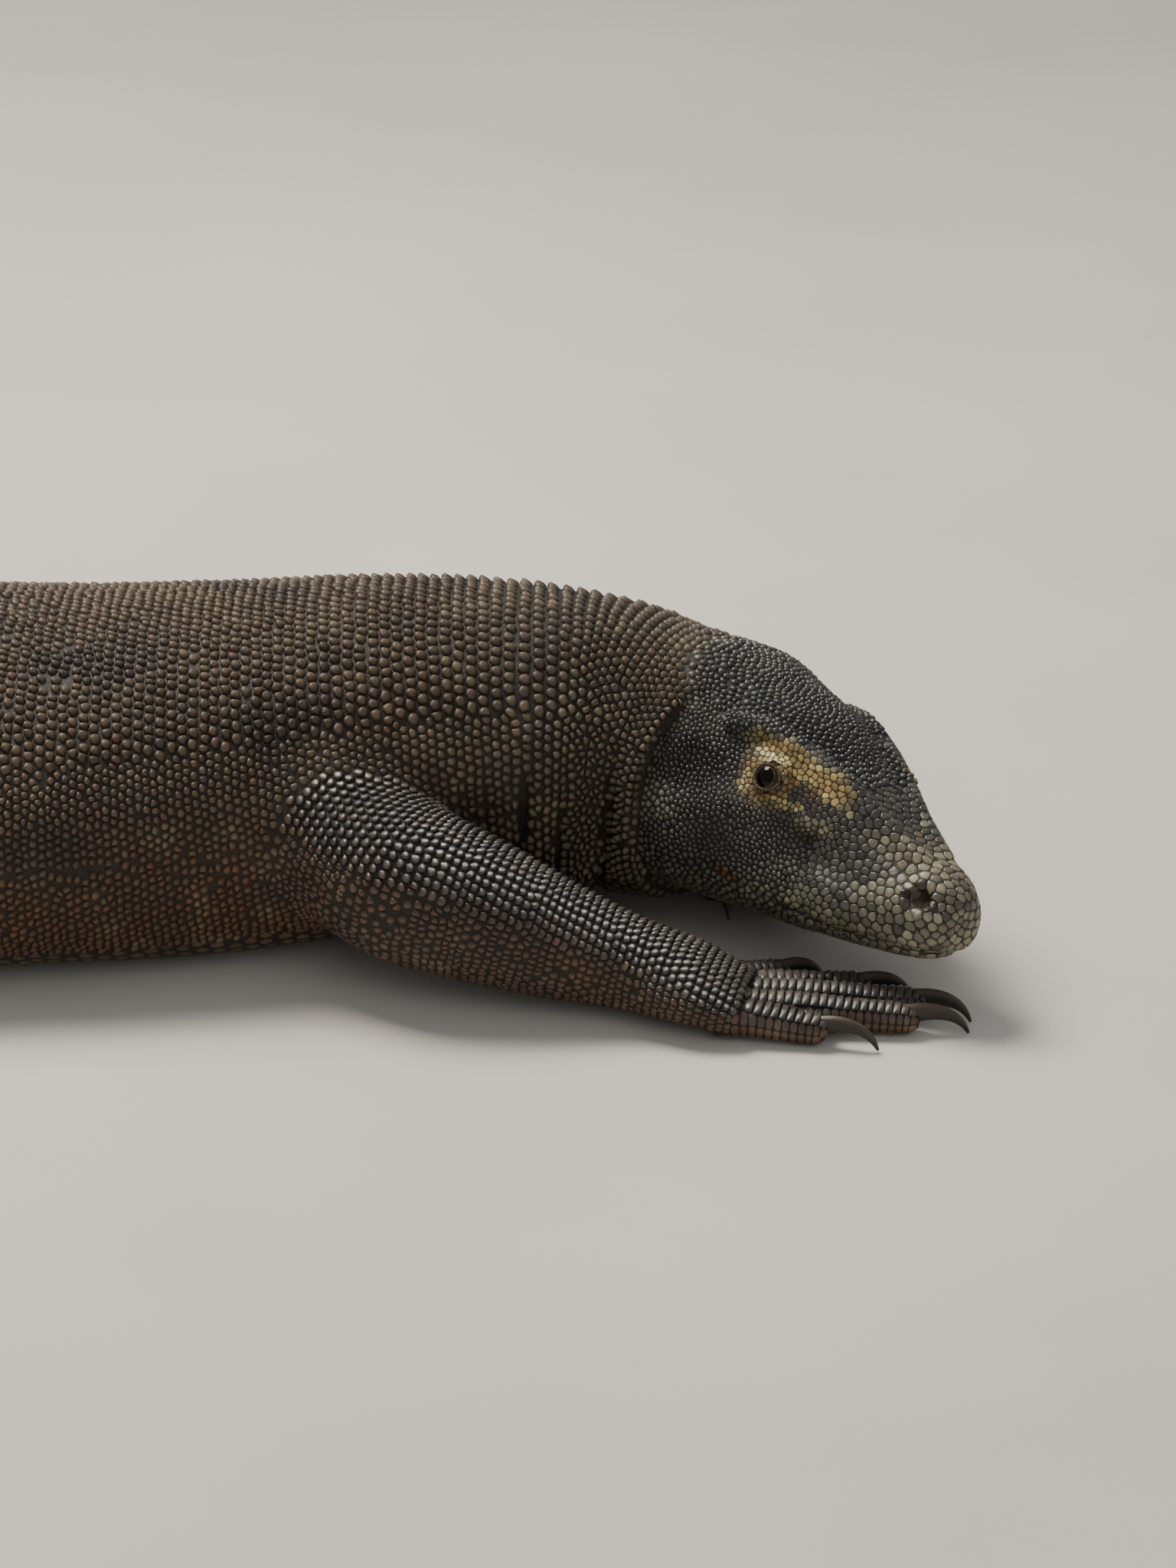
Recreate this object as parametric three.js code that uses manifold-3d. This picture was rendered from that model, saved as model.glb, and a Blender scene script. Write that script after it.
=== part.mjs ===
// A life-size Komodo dragon lying at rest with its chin on its right hand, in millimetres.
// +X points forward along the trunk, +Y to the animal's left, +Z up. The floor is z = 0.
// Each stretch of the animal is a lofted body; thin cuts part the whole into its named pieces.
import * as THREE from "three";
import { mergeVertices } from "three/addons/utils/BufferGeometryUtils.js";
import Module from "manifold-3d";

const wasm = await Module();
wasm.setup();

// ---------------------------------------------------------------- driving dimensions
const GAP = 0.4; // width of every parting cut and clearance
const FLOOR = { length: 6000, width: 3000, depth: 200 }; // block that trims the resting flats
const KNIFE = { length: 2800, width: 1400, height: 700 }; // block that parts the trunk
const CRUMB = 1000; // anything a cut leaves below this volume is dropped
const HEAD_TIP = new THREE.Vector3(521, -160, 62);
const HEAD_YAW = THREE.MathUtils.degToRad(-47); // turned to its right
const HEAD_PITCH = THREE.MathUtils.degToRad(6); // nose down
const HEAD_ROLL = THREE.MathUtils.degToRad(-13); // right cheek raised on the hand
const EYE_RADIUS = 10.5;
const EYE_AT = new THREE.Vector3(-117, 44, 35); // from the snout tip, left eye
const CLAW = { wide: 3.6, tall: 5.4, taper: 0.86 }; // half sizes at the root, share lost by the point
const MOUTH_WIDTH = 240; // reach of the mouth slit from side to side

const COLOURS = {
  back: 0x3d3831,
  flank: 0x4a3d30,
  head: 0x4d4a40,
  limb: 0x45392e,
  claw: 0x2e2823,
  eye: 0x1a120c,
};

// Trunk, neck and tail: centre line, half width, height above and depth below the centre line.
const BODY = [
  { x: -1905, y: 372, z: 4, side: 2, up: 3, down: 3 }, // tail tip
  { x: -1780, y: 330, z: 9, side: 8, up: 10, down: 10 },
  { x: -1640, y: 268, z: 15, side: 13, up: 17, down: 17 },
  { x: -1500, y: 196, z: 22, side: 19, up: 25, down: 24 },
  { x: -1350, y: 122, z: 29, side: 26, up: 33, down: 31 },
  { x: -1200, y: 62, z: 36, side: 34, up: 40, down: 38 },
  { x: -1040, y: 20, z: 44, side: 44, up: 47, down: 47 },
  { x: -880, y: 2, z: 52, side: 58, up: 55, down: 56 },
  { x: -730, y: 0, z: 60, side: 76, up: 64, down: 65 }, // vent
  { x: -600, y: 0, z: 72, side: 98, up: 76, down: 76 }, // hips
  { x: -460, y: 0, z: 80, side: 126, up: 88, down: 84 },
  { x: -300, y: 0, z: 82, side: 150, up: 96, down: 87 }, // belly
  { x: -130, y: 0, z: 82, side: 152, up: 96, down: 87 },
  { x: 20, y: 0, z: 82, side: 142, up: 94, down: 87 },
  { x: 120, y: 0, z: 86, side: 125, up: 95, down: 90 }, // shoulders
  { x: 210, y: 0, z: 95, side: 104, up: 93, down: 90 },
  { x: 280, y: 0, z: 100, side: 92, up: 86, down: 84 }, // neck
  { x: 330, y: -2, z: 99, side: 86, up: 78, down: 78 },
  { x: 366, y: -15, z: 96, side: 79, up: 69, down: 74 },
  { x: 391, y: -34, z: 93, side: 72, up: 61, down: 68 }, // collar, turned to face the head
  { x: 401, y: -46, z: 93, side: 50, up: 50, down: 50 },
  { x: 406, y: -50, z: 92, side: 20, up: 20, down: 20 },
];

// Head, back from the tip: half widths of cheek and crown, height of the crown, depth of the
// jaw, and the level of the widest line.
const HEAD = [
  { back: 0, cheek: 11, crown: 8, top: 5, jaw: 14, level: -8 },
  { back: 4, cheek: 18, crown: 12, top: 12, jaw: 23, level: -9 },
  { back: 17, cheek: 26, crown: 18, top: 20, jaw: 31, level: -11 },
  { back: 47, cheek: 35, crown: 22, top: 29, jaw: 38, level: -14 },
  { back: 83, cheek: 43, crown: 31, top: 48, jaw: 44, level: -15 },
  { back: 118, cheek: 52, crown: 41, top: 65, jaw: 48, level: -12 },
  { back: 155, cheek: 66, crown: 45, top: 73, jaw: 53, level: -6 },
  { back: 194, cheek: 73, crown: 50, top: 79, jaw: 56, level: 0 },
  { back: 231, cheek: 60, crown: 40, top: 64, jaw: 50, level: 0 },
  { back: 256, cheek: 24, crown: 14, top: 26, jaw: 22, level: 0 },
];

// Mouth line in the head's own side view: back from the tip, height.
const MOUTH = [
  { back: -20, height: -22 },
  { back: 12, height: -23 },
  { back: 66, height: -29 },
  { back: 116, height: -26 },
  { back: 169, height: -17 },
  { back: 290, height: -12 },
];

// Legs, from the root inside the trunk to the wrist or ankle: a point and two half thicknesses.
const LEGS = {
  fore_right: [
    { at: [148, -48, 90], wide: 42, thick: 42 },
    { at: [184, -88, 81], wide: 45, thick: 44 },
    { at: [222, -119, 66], wide: 44, thick: 45 }, // elbow
    { at: [262, -132, 54], wide: 39, thick: 40 },
    { at: [302, -140, 41], wide: 32, thick: 33 },
    { at: [340, -147, 31], wide: 28, thick: 26 }, // wrist
    { at: [374, -155, 23], wide: 35, thick: 20 },
    { at: [402, -161, 15], wide: 33, thick: 13 },
  ],
  fore_left: [
    { at: [150, 50, 96], wide: 46, thick: 46 },
    { at: [170, 92, 88], wide: 48, thick: 48 },
    { at: [190, 138, 62], wide: 44, thick: 44 },
    { at: [238, 146, 50], wide: 39, thick: 40 },
    { at: [290, 132, 38], wide: 32, thick: 32 },
    { at: [334, 108, 29], wide: 27, thick: 25 },
    { at: [362, 84, 22], wide: 34, thick: 19 },
    { at: [390, 50, 15], wide: 33, thick: 13 },
  ],
  hind_right: [
    { at: [-640, -30, 84], wide: 52, thick: 52 },
    { at: [-608, -96, 82], wide: 62, thick: 56 },
    { at: [-556, -158, 72], wide: 58, thick: 52 },
    { at: [-506, -206, 60], wide: 46, thick: 46 }, // knee
    { at: [-572, -236, 46], wide: 38, thick: 38 },
    { at: [-648, -256, 31], wide: 28, thick: 27 }, // ankle
    { at: [-628, -296, 23], wide: 32, thick: 20 },
    { at: [-578, -338, 15], wide: 33, thick: 13 },
  ],
  hind_left: [
    { at: [-650, 30, 84], wide: 52, thick: 52 },
    { at: [-628, 96, 82], wide: 62, thick: 56 },
    { at: [-590, 164, 70], wide: 58, thick: 52 },
    { at: [-548, 216, 57], wide: 46, thick: 46 },
    { at: [-622, 240, 44], wide: 38, thick: 38 },
    { at: [-702, 256, 31], wide: 28, thick: 27 },
    { at: [-686, 296, 23], wide: 32, thick: 20 },
    { at: [-642, 340, 15], wide: 33, thick: 13 },
  ],
};

// Where each leg parts: the station of each joint, how far the cut reaches, and the pieces' names.
// A folded leg also bends sharply, in a ball, at the stations listed under bends.
const FORE = {
  cuts: [{ station: 2, reach: 200 }, { station: 5, reach: 70 }],
  bends: [],
  names: ["upper_arm", "forearm", "hand"],
};
const HIND = {
  cuts: [{ station: 3, reach: 200 }, { station: 5, reach: 95 }],
  bends: [3, 5],
  names: ["thigh", "shin", "foot"],
};

// Digits: root, tip and claw point over the floor. The first is the thumb or the great toe.
const DIGITS = {
  fore_right: [
    { root: [380, -132], tip: [424, -112], point: [448, -106], wide: 9.5 },
    { root: [394, -142], tip: [466, -130], point: [494, -128], wide: 10 },
    { root: [400, -152], tip: [494, -152], point: [524, -158], wide: 10.5 },
    { root: [398, -166], tip: [488, -172], point: [522, -172], wide: 10.5 },
    { root: [386, -176], tip: [442, -186], point: [473, -194], wide: 10.5 },
  ],
  fore_left: [
    { root: [392, 84], tip: [424, 96], point: [448, 98], wide: 9.5 },
    { root: [398, 66], tip: [452, 50], point: [478, 42], wide: 10 },
    { root: [396, 50], tip: [446, 8], point: [466, -10], wide: 10.5 },
    { root: [386, 38], tip: [428, -14], point: [444, -36], wide: 10.5 },
    { root: [370, 38], tip: [392, 0], point: [398, -24], wide: 10 },
  ],
  hind_right: [
    { root: [-576, -308], tip: [-540, -298], point: [-516, -294], wide: 9.5 },
    { root: [-568, -322], tip: [-516, -326], point: [-490, -330], wide: 10 },
    { root: [-570, -336], tip: [-510, -362], point: [-486, -374], wide: 10.5 },
    { root: [-582, -346], tip: [-530, -398], point: [-512, -416], wide: 10.5 },
    { root: [-602, -344], tip: [-594, -386], point: [-590, -410], wide: 10 },
  ],
  hind_left: [
    { root: [-638, 308], tip: [-602, 296], point: [-578, 290], wide: 9.5 },
    { root: [-630, 324], tip: [-578, 324], point: [-552, 324], wide: 10 },
    { root: [-632, 338], tip: [-572, 358], point: [-546, 366], wide: 10.5 },
    { root: [-644, 348], tip: [-590, 396], point: [-570, 412], wide: 10.5 },
    { root: [-662, 346], tip: [-650, 390], point: [-644, 414], wide: 10 },
  ],
};

// Planes across the trunk and tail: the piece in front of each is named, from the nose back.
const TRUNK_CUTS = [
  { x: 255, name: "neck" },
  { x: -20, name: "shoulders" },
  { x: -440, name: "belly" },
  { x: -740, name: "hips" },
  { x: -960, name: "tail_base" },
  { x: -1190, name: "tail_front" },
  { x: -1420, name: "tail_middle" },
  { x: -1660, name: "tail_rear" },
  { x: -2200, name: "tail_tip" },
];

// ---------------------------------------------------------------- lofting
const curveOf = (keys, stations) =>
  new THREE.CatmullRomCurve3(
    stations.map((station) => new THREE.Vector3(...keys(station))),
    false,
    "catmullrom",
  );

const power = (value, exponent) => Math.sign(value) * Math.abs(value) ** exponent;

// A closed body: a unit sphere whose rows become cross-sections.
// place(u) gives a section's centre, side and up axes; outline(u, angle) its [side, up] reach.
function loft(place, outline, around, along) {
  const geometry = new THREE.SphereGeometry(1, around, along);
  const position = geometry.getAttribute("position");
  const point = new THREE.Vector3();
  for (let row = 0; row <= along; row++) {
    const u = THREE.MathUtils.clamp((row - 1) / (along - 2), 0, 1);
    const { centre, side, up } = place(u);
    const reach = row === 0 || row === along ? 0 : 1;
    for (let k = 0; k <= around; k++) {
      const [a, b] = outline(u, ((k % around) / around) * 2 * Math.PI);
      point.copy(centre).addScaledVector(side, a * reach).addScaledVector(up, b * reach);
      position.setXYZ(row * (around + 1) + k, point.x, point.y, point.z);
    }
  }
  return geometry;
}

// The side and up axes of a section that faces along the tangent, with no roll.
function axesAlong(tangent) {
  const side = new THREE.Vector3(0, 0, 1).cross(tangent).normalize();
  return { side, up: tangent.clone().cross(side).normalize() };
}

// Trunk, neck and tail as one tube. grow widens it, to cut what lies against it.
function bodyTube(grow = 0, around = 16, along = 34) {
  const line = curveOf((s) => [s.x, s.y, s.z], BODY);
  const sizes = curveOf((s) => [s.side, s.up, s.down], BODY);
  const place = (u) => ({ centre: line.getPoint(u), ...axesAlong(line.getTangent(u)) });
  const outline = (u, angle) => {
    const size = sizes.getPoint(u);
    const top = Math.cos(angle) > 0;
    return [
      power(Math.sin(angle), top ? 1 : 0.72) * (size.x + grow),
      power(Math.cos(angle), top ? 0.92 : 0.66) * ((top ? size.y : size.z) + grow),
    ];
  };
  return loft(place, outline, around, along);
}

// The head in its own frame: snout tip at the origin, +X forward.
function headLoft(around = 16, along = 15) {
  const line = curveOf((s) => [-s.back, 0, 0], HEAD);
  const widths = curveOf((s) => [s.cheek, s.crown, s.level], HEAD);
  const depths = curveOf((s) => [s.top, s.jaw, 0], HEAD);
  const place = (u) => ({
    centre: line.getPoint(1 - u),
    side: new THREE.Vector3(0, 1, 0),
    up: new THREE.Vector3(0, 0, 1),
  });
  const outline = (u, angle) => {
    const wide = widths.getPoint(1 - u);
    const deep = depths.getPoint(1 - u);
    const s = Math.sin(angle);
    const c = Math.cos(angle);
    if (c < 0) return [power(s, 0.85) * wide.x, wide.z + power(c, 0.8) * (deep.y + wide.z)];
    // Above its widest line the side leans in to the brow, then turns sharply over a flat crown.
    const lean = THREE.MathUtils.smoothstep(c, 0.05, 0.7);
    const reach = THREE.MathUtils.lerp(wide.x, wide.y * 1.2, lean);
    return [power(s, 0.75) * reach, wide.z + power(c, 0.6) * (deep.x - wide.z)];
  };
  return loft(place, outline, around, along);
}

function limbLoft(stations, grow = 0, around = 10, along = 12) {
  const line = curveOf((s) => s.at, stations);
  const sizes = curveOf((s) => [s.wide, s.thick, 0], stations);
  const place = (u) => ({ centre: line.getPoint(u), ...axesAlong(line.getTangent(u)) });
  const outline = (u, angle) => {
    const size = sizes.getPoint(u);
    return [Math.sin(angle) * (size.x + grow), Math.cos(angle) * (size.y + grow)];
  };
  return loft(place, outline, around, along);
}

function digitLoft({ root, tip, wide }, grow = 0) {
  const stations = [
    { share: 0, height: 1.15, size: 1.1 },
    { share: 0.35, height: 1.2, size: 1 },
    { share: 0.7, height: 1, size: 0.92 },
    { share: 1, height: 0.85, size: 0.85 },
    { share: 1.1, height: 0.7, size: 0.45 },
  ].map(({ share, height, size }) => ({
    at: [
      THREE.MathUtils.lerp(root[0], tip[0], share),
      THREE.MathUtils.lerp(root[1], tip[1], share),
      wide * height,
    ],
    wide: wide * size,
    thick: wide * size,
  }));
  return limbLoft(stations, grow, 6, 5);
}

// A claw: a hook, taller than wide, that leaves the top of the digit and bends to its point.
function clawLoft({ tip, point, wide }, grow = 0) {
  const start = new THREE.Vector3(tip[0], tip[1], wide * 1.15);
  const end = new THREE.Vector3(point[0], point[1], 1.2);
  const bend = start.clone().lerp(end, 0.78).setZ(wide * 1.7);
  const line = new THREE.QuadraticBezierCurve3(start, bend, end);
  const place = (u) => ({ centre: line.getPoint(u), ...axesAlong(line.getTangent(u)) });
  const outline = (u, angle) => {
    const taper = 1 - CLAW.taper * u ** 1.5;
    return [
      Math.sin(angle) * (CLAW.wide * taper + grow),
      Math.cos(angle) * (CLAW.tall * taper + grow),
    ];
  };
  return loft(place, outline, 5, 5);
}

// ---------------------------------------------------------------- solids
function solidOf(geometry, matrix = new THREE.Matrix4()) {
  const bare = geometry.clone().applyMatrix4(matrix);
  bare.deleteAttribute("normal");
  bare.deleteAttribute("uv");
  const merged = mergeVertices(bare, 1e-3);
  return new wasm.Manifold(
    new wasm.Mesh({
      numProp: 3,
      vertProperties: merged.getAttribute("position").array,
      triVerts: new Uint32Array(merged.index.array),
    }),
  );
}

function geometryOf(solid) {
  const { numProp, numVert, vertProperties, triVerts } = solid.getMesh();
  const points = new Float32Array(numVert * 3);
  for (let i = 0; i < numVert; i++) {
    points.set(vertProperties.subarray(i * numProp, i * numProp + 3), i * 3);
  }
  const geometry = new THREE.BufferGeometry();
  geometry.setAttribute("position", new THREE.BufferAttribute(points, 3));
  geometry.setIndex(new THREE.BufferAttribute(triVerts, 1));
  geometry.computeVertexNormals();
  return geometry;
}

const largest = (solid) => solid.decompose().sort((a, b) => b.volume() - a.volume())[0];

function middleOf(solid) {
  const { min, max } = solid.boundingBox();
  return new THREE.Vector3(...min).add(new THREE.Vector3(...max)).multiplyScalar(0.5);
}

const floor = solidOf(
  new THREE.BoxGeometry(FLOOR.length, FLOOR.width, FLOOR.depth).translate(0, 0, -FLOOR.depth / 2),
);

const pose = new THREE.Group();

function addPiece(name, solid, colour, roughness = 0.6) {
  const material = new THREE.MeshStandardMaterial({ color: colour, roughness, metalness: 0 });
  const mesh = new THREE.Mesh(geometryOf(solid), material);
  mesh.name = name;
  pose.add(mesh);
}

// ---------------------------------------------------------------- trunk, neck and tail
const headFrame = new THREE.Matrix4().makeRotationFromEuler(
  new THREE.Euler(HEAD_ROLL, HEAD_PITCH, HEAD_YAW, "ZYX"),
);
headFrame.setPosition(HEAD_TIP);

const bodyWhole = solidOf(bodyTube()).subtract(floor);
const bodyGrown = solidOf(bodyTube(GAP)).add(bodyWhole);

let rest = bodyWhole;
for (const { x, name } of TRUNK_CUTS) {
  const knife = new THREE.BoxGeometry(KNIFE.length, KNIFE.width, KNIFE.height);
  const front = solidOf(knife, new THREE.Matrix4().makeTranslation(x + KNIFE.length / 2, 0, 0));
  const back = new THREE.Matrix4().makeTranslation(x - GAP - KNIFE.length / 2, 0, 0);
  const colour = name === "neck" || name === "shoulders" ? COLOURS.back : COLOURS.flank;
  addPiece(name, largest(rest.intersect(front)), colour);
  if (name !== "tail_tip") rest = rest.intersect(solidOf(knife, back));
}

// ---------------------------------------------------------------- legs, digits and claws
// A leg's solid: lofted stretches that meet in a ball wherever the leg bends sharply.
function legSolid(stations, bends) {
  const ends = [0, ...bends, stations.length - 1];
  const stretches = ends.slice(1).map((end, i) => {
    const stretch = stations.slice(ends[i], end + 1);
    const along = bends.length ? 2 * stretch.length - 1 : 10;
    return solidOf(limbLoft(stretch, 0, 10, along));
  });
  const balls = bends.map((i) => {
    const { at, wide, thick } = stations[i];
    return solidOf(new THREE.SphereGeometry(1, 8, 5).scale(wide, wide, thick).translate(...at));
  });
  return [...stretches, ...balls].reduce((whole, piece) => whole.add(piece));
}

// A thin disc that halves the bend of a leg at one of its stations.
function mitre(stations, i, reach) {
  const [before, here, after] = [i - 1, i, i + 1].map((k) => new THREE.Vector3(...stations[k].at));
  const into = here.clone().sub(before).normalize();
  const onward = after.sub(here).normalize();
  const turn = new THREE.Quaternion().setFromUnitVectors(
    new THREE.Vector3(0, 1, 0),
    into.add(onward).normalize(),
  );
  const disc = new THREE.CylinderGeometry(reach, reach, GAP, 12);
  return solidOf(disc, new THREE.Matrix4().compose(here, turn, new THREE.Vector3(1, 1, 1)));
}

for (const [leg, stations] of Object.entries(LEGS)) {
  const [part, flank] = leg.split("_");
  const { cuts, bends, names } = part === "fore" ? FORE : HIND;
  let solid = legSolid(stations, bends);
  for (const digit of DIGITS[leg]) solid = solid.add(solidOf(digitLoft(digit)));
  for (const digit of DIGITS[leg]) solid = solid.subtract(solidOf(clawLoft(digit, GAP)));
  solid = largest(solid.subtract(floor).subtract(bodyGrown));
  for (const { station, reach } of cuts) solid = solid.subtract(mitre(stations, station, reach));
  const foot = new THREE.Vector3(...stations.at(-1).at);
  const pieces = solid
    .decompose()
    .filter((piece) => piece.volume() > CRUMB)
    .sort((a, b) => middleOf(b).distanceTo(foot) - middleOf(a).distanceTo(foot));
  if (pieces.length !== 3) throw new Error(`${leg} parts into ${pieces.length}`);
  pieces.forEach((piece, i) => addPiece(`${names[i]}_${flank}`, piece, COLOURS.limb));
  DIGITS[leg].forEach((digit, i) => {
    const claw = solidOf(clawLoft(digit)).subtract(floor);
    addPiece(`claw_${part}_${flank}_${i + 1}`, claw, COLOURS.claw, 0.4);
  });
}

// ---------------------------------------------------------------- head, jaw and eyes
let headWhole = solidOf(headLoft(), headFrame).subtract(bodyGrown).subtract(floor);
for (const leg of ["fore_right", "fore_left"]) {
  headWhole = headWhole.subtract(solidOf(limbLoft(LEGS[leg], GAP)));
  for (const digit of DIGITS[leg]) {
    headWhole = headWhole.subtract(solidOf(digitLoft(digit, GAP)));
    headWhole = headWhole.subtract(solidOf(clawLoft(digit, GAP)));
  }
}
headWhole = largest(headWhole);
for (const [name, side] of [["eye_left", 1], ["eye_right", -1]]) {
  const at = EYE_AT.clone().setY(EYE_AT.y * side).applyMatrix4(headFrame);
  const placed = new THREE.Matrix4().setPosition(at);
  headWhole = headWhole.subtract(solidOf(new THREE.SphereGeometry(EYE_RADIUS + GAP, 8, 5), placed));
  addPiece(name, solidOf(new THREE.SphereGeometry(EYE_RADIUS, 8, 5), placed), COLOURS.eye, 0.15);
}
const mouth = new THREE.Shape();
const mouthLine = new THREE.SplineCurve(MOUTH.map((m) => new THREE.Vector2(-m.back, m.height)));
const mouthPoints = mouthLine.getPoints(14);
mouth.setFromPoints([
  ...mouthPoints,
  ...mouthPoints.toReversed().map((p) => new THREE.Vector2(p.x, p.y - GAP)),
]);
const slit = new THREE.ExtrudeGeometry(mouth, { depth: MOUTH_WIDTH, bevelEnabled: false });
slit.rotateX(Math.PI / 2).translate(0, MOUTH_WIDTH / 2, 0);
const [upper, lower] = headWhole
  .subtract(solidOf(slit, headFrame))
  .decompose()
  .filter((piece) => piece.volume() > CRUMB)
  .sort((a, b) => middleOf(b).z - middleOf(a).z);
addPiece("head", upper, COLOURS.head);
addPiece("lower_jaw", lower, COLOURS.head);

// ---------------------------------------------------------------- the whole, centred on the floor
const box = new THREE.Box3().setFromObject(pose, true);
const middle = box.getCenter(new THREE.Vector3());
pose.position.set(-middle.x, -middle.y, -box.min.z);
const komodo = new THREE.Group();
komodo.add(pose);
komodo.updateMatrixWorld(true);

export default komodo;
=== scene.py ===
"""A life-size Komodo dragon at rest with its chin over its right hand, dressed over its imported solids.

Shaping is done in millimetres in the animal's own plan frame: +X forward along the trunk, +Y to its
left, +Z up from the floor. Meshes are written in metres in the frame of the solids.
"""

import logging
import math
from dataclasses import dataclass, field
from enum import Enum
from typing import Callable, Iterable, NamedTuple, Sequence

import bmesh
import bpy
import numpy as np
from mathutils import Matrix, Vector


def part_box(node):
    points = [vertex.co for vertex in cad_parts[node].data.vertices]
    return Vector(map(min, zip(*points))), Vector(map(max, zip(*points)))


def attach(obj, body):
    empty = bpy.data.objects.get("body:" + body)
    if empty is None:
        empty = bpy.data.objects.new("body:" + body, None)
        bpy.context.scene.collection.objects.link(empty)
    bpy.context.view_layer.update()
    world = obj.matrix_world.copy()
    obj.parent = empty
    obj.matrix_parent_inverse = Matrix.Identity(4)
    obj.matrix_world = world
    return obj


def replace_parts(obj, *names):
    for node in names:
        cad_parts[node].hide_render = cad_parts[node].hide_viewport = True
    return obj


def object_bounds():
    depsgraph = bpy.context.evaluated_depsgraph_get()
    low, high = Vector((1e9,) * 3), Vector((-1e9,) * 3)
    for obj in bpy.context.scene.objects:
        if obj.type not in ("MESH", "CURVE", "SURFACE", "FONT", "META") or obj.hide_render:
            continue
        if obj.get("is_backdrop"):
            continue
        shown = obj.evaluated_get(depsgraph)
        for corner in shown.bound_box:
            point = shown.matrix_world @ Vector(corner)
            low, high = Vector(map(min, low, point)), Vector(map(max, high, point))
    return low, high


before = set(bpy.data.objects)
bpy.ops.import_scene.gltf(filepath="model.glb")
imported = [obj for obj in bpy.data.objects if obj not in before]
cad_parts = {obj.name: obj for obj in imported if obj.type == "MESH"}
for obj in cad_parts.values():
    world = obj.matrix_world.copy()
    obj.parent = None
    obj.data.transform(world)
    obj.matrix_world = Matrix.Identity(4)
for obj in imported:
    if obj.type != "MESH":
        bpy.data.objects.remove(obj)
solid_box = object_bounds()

import openvdb as vdb
from mathutils import Matrix, Vector
from mathutils.kdtree import KDTree

log = logging.getLogger("komodo")

MM = 0.001
COAT_DEPTH = 1.3  # how far the skin lies inside the outline of the solids
BAND = 30.0  # distances are exact this near a surface

Array = np.ndarray
SkinMesh = tuple[Array, list[Array]]  # points, then the faces of three and of four corners
Socket = bpy.types.NodeSocket


# ------------------------------------------------------------------------------- plan of the animal
# Trunk, neck and tail: centre x, y, z, half width, height above and depth below the centre line.
TRUNK_PLAN = (
    (-1905, 372, 4, 2, 3, 3),
    (-1780, 330, 9, 8, 10, 10),
    (-1640, 268, 15, 13, 17, 17),
    (-1500, 196, 22, 19, 25, 24),
    (-1350, 122, 29, 26, 33, 31),
    (-1200, 62, 36, 34, 40, 38),
    (-1040, 20, 44, 44, 47, 47),
    (-880, 2, 52, 58, 55, 56),
    (-730, 0, 60, 76, 64, 65),
    (-600, 0, 72, 98, 76, 76),
    (-460, 0, 80, 126, 88, 84),
    (-300, 0, 82, 150, 96, 87),
    (-130, 0, 82, 152, 96, 87),
    (20, 0, 82, 142, 94, 87),
    (120, 0, 86, 125, 95, 90),
    (210, 0, 95, 104, 93, 90),
    (280, 0, 100, 92, 86, 84),
    (330, -2, 99, 86, 78, 78),
    (366, -15, 96, 79, 69, 74),
    (391, -34, 93, 72, 61, 68),
    (401, -46, 93, 50, 50, 50),
    (406, -50, 92, 20, 20, 20),
)
NECK_CUT = 255.0  # plan x of the plane behind the neck solid

# Head, back from the snout tip: half widths of cheek and crown, crown height, jaw depth, and the
# level of the widest line.
HEAD_PLAN = (
    (0, 11, 8, 5, 14, -8),
    (4, 18, 12, 12, 23, -9),
    (17, 26, 18, 20, 31, -11),
    (47, 35, 22, 29, 38, -14),
    (83, 43, 31, 48, 44, -15),
    (118, 52, 41, 65, 48, -12),
    (155, 66, 45, 73, 53, -6),
    (194, 73, 50, 79, 56, 0),
    (231, 60, 40, 64, 50, 0),
    (256, 24, 14, 26, 22, 0),
)
HEAD_TIP = (521.0, -160.0, 62.0)
HEAD_TURN = (-13.0, 6.0, -47.0)  # roll, pitch and yaw, in degrees
EYE_RADIUS = 10.5
EYE_AT = (-117.0, 44.0, 35.0)  # left eye in the head's frame

# Mouth line in the head's own side view: x, z.
MOUTH_PLAN = ((20, -22), (-12, -23), (-66, -29), (-116, -26), (-169, -17), (-290, -12))
MOUTH_CORNER = -140.0

# Legs: plan place, then half thickness across and through.
LEG_PLANS = {
    "fore_right": (
        (148, -48, 90, 42, 42),
        (184, -88, 81, 45, 44),
        (222, -119, 66, 44, 45),
        (262, -132, 54, 39, 40),
        (302, -140, 41, 32, 33),
        (340, -147, 31, 28, 26),
        (374, -155, 23, 35, 20),
        (402, -161, 15, 33, 13),
    ),
    "fore_left": (
        (150, 50, 96, 46, 46),
        (170, 92, 88, 48, 48),
        (190, 138, 62, 44, 44),
        (238, 146, 50, 39, 40),
        (290, 132, 38, 32, 32),
        (334, 108, 29, 27, 25),
        (362, 84, 22, 34, 19),
        (390, 50, 15, 33, 13),
    ),
    "hind_right": (
        (-640, -30, 84, 52, 52),
        (-608, -96, 82, 62, 56),
        (-556, -158, 72, 58, 52),
        (-506, -206, 60, 46, 46),
        (-572, -236, 46, 38, 38),
        (-648, -256, 31, 28, 27),
        (-628, -296, 23, 32, 20),
        (-578, -338, 15, 33, 13),
    ),
    "hind_left": (
        (-650, 30, 84, 52, 52),
        (-628, 96, 82, 62, 56),
        (-590, 164, 70, 58, 52),
        (-548, 216, 57, 46, 46),
        (-622, 240, 44, 38, 38),
        (-702, 256, 31, 28, 27),
        (-686, 296, 23, 32, 20),
        (-642, 340, 15, 33, 13),
    ),
}

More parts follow.
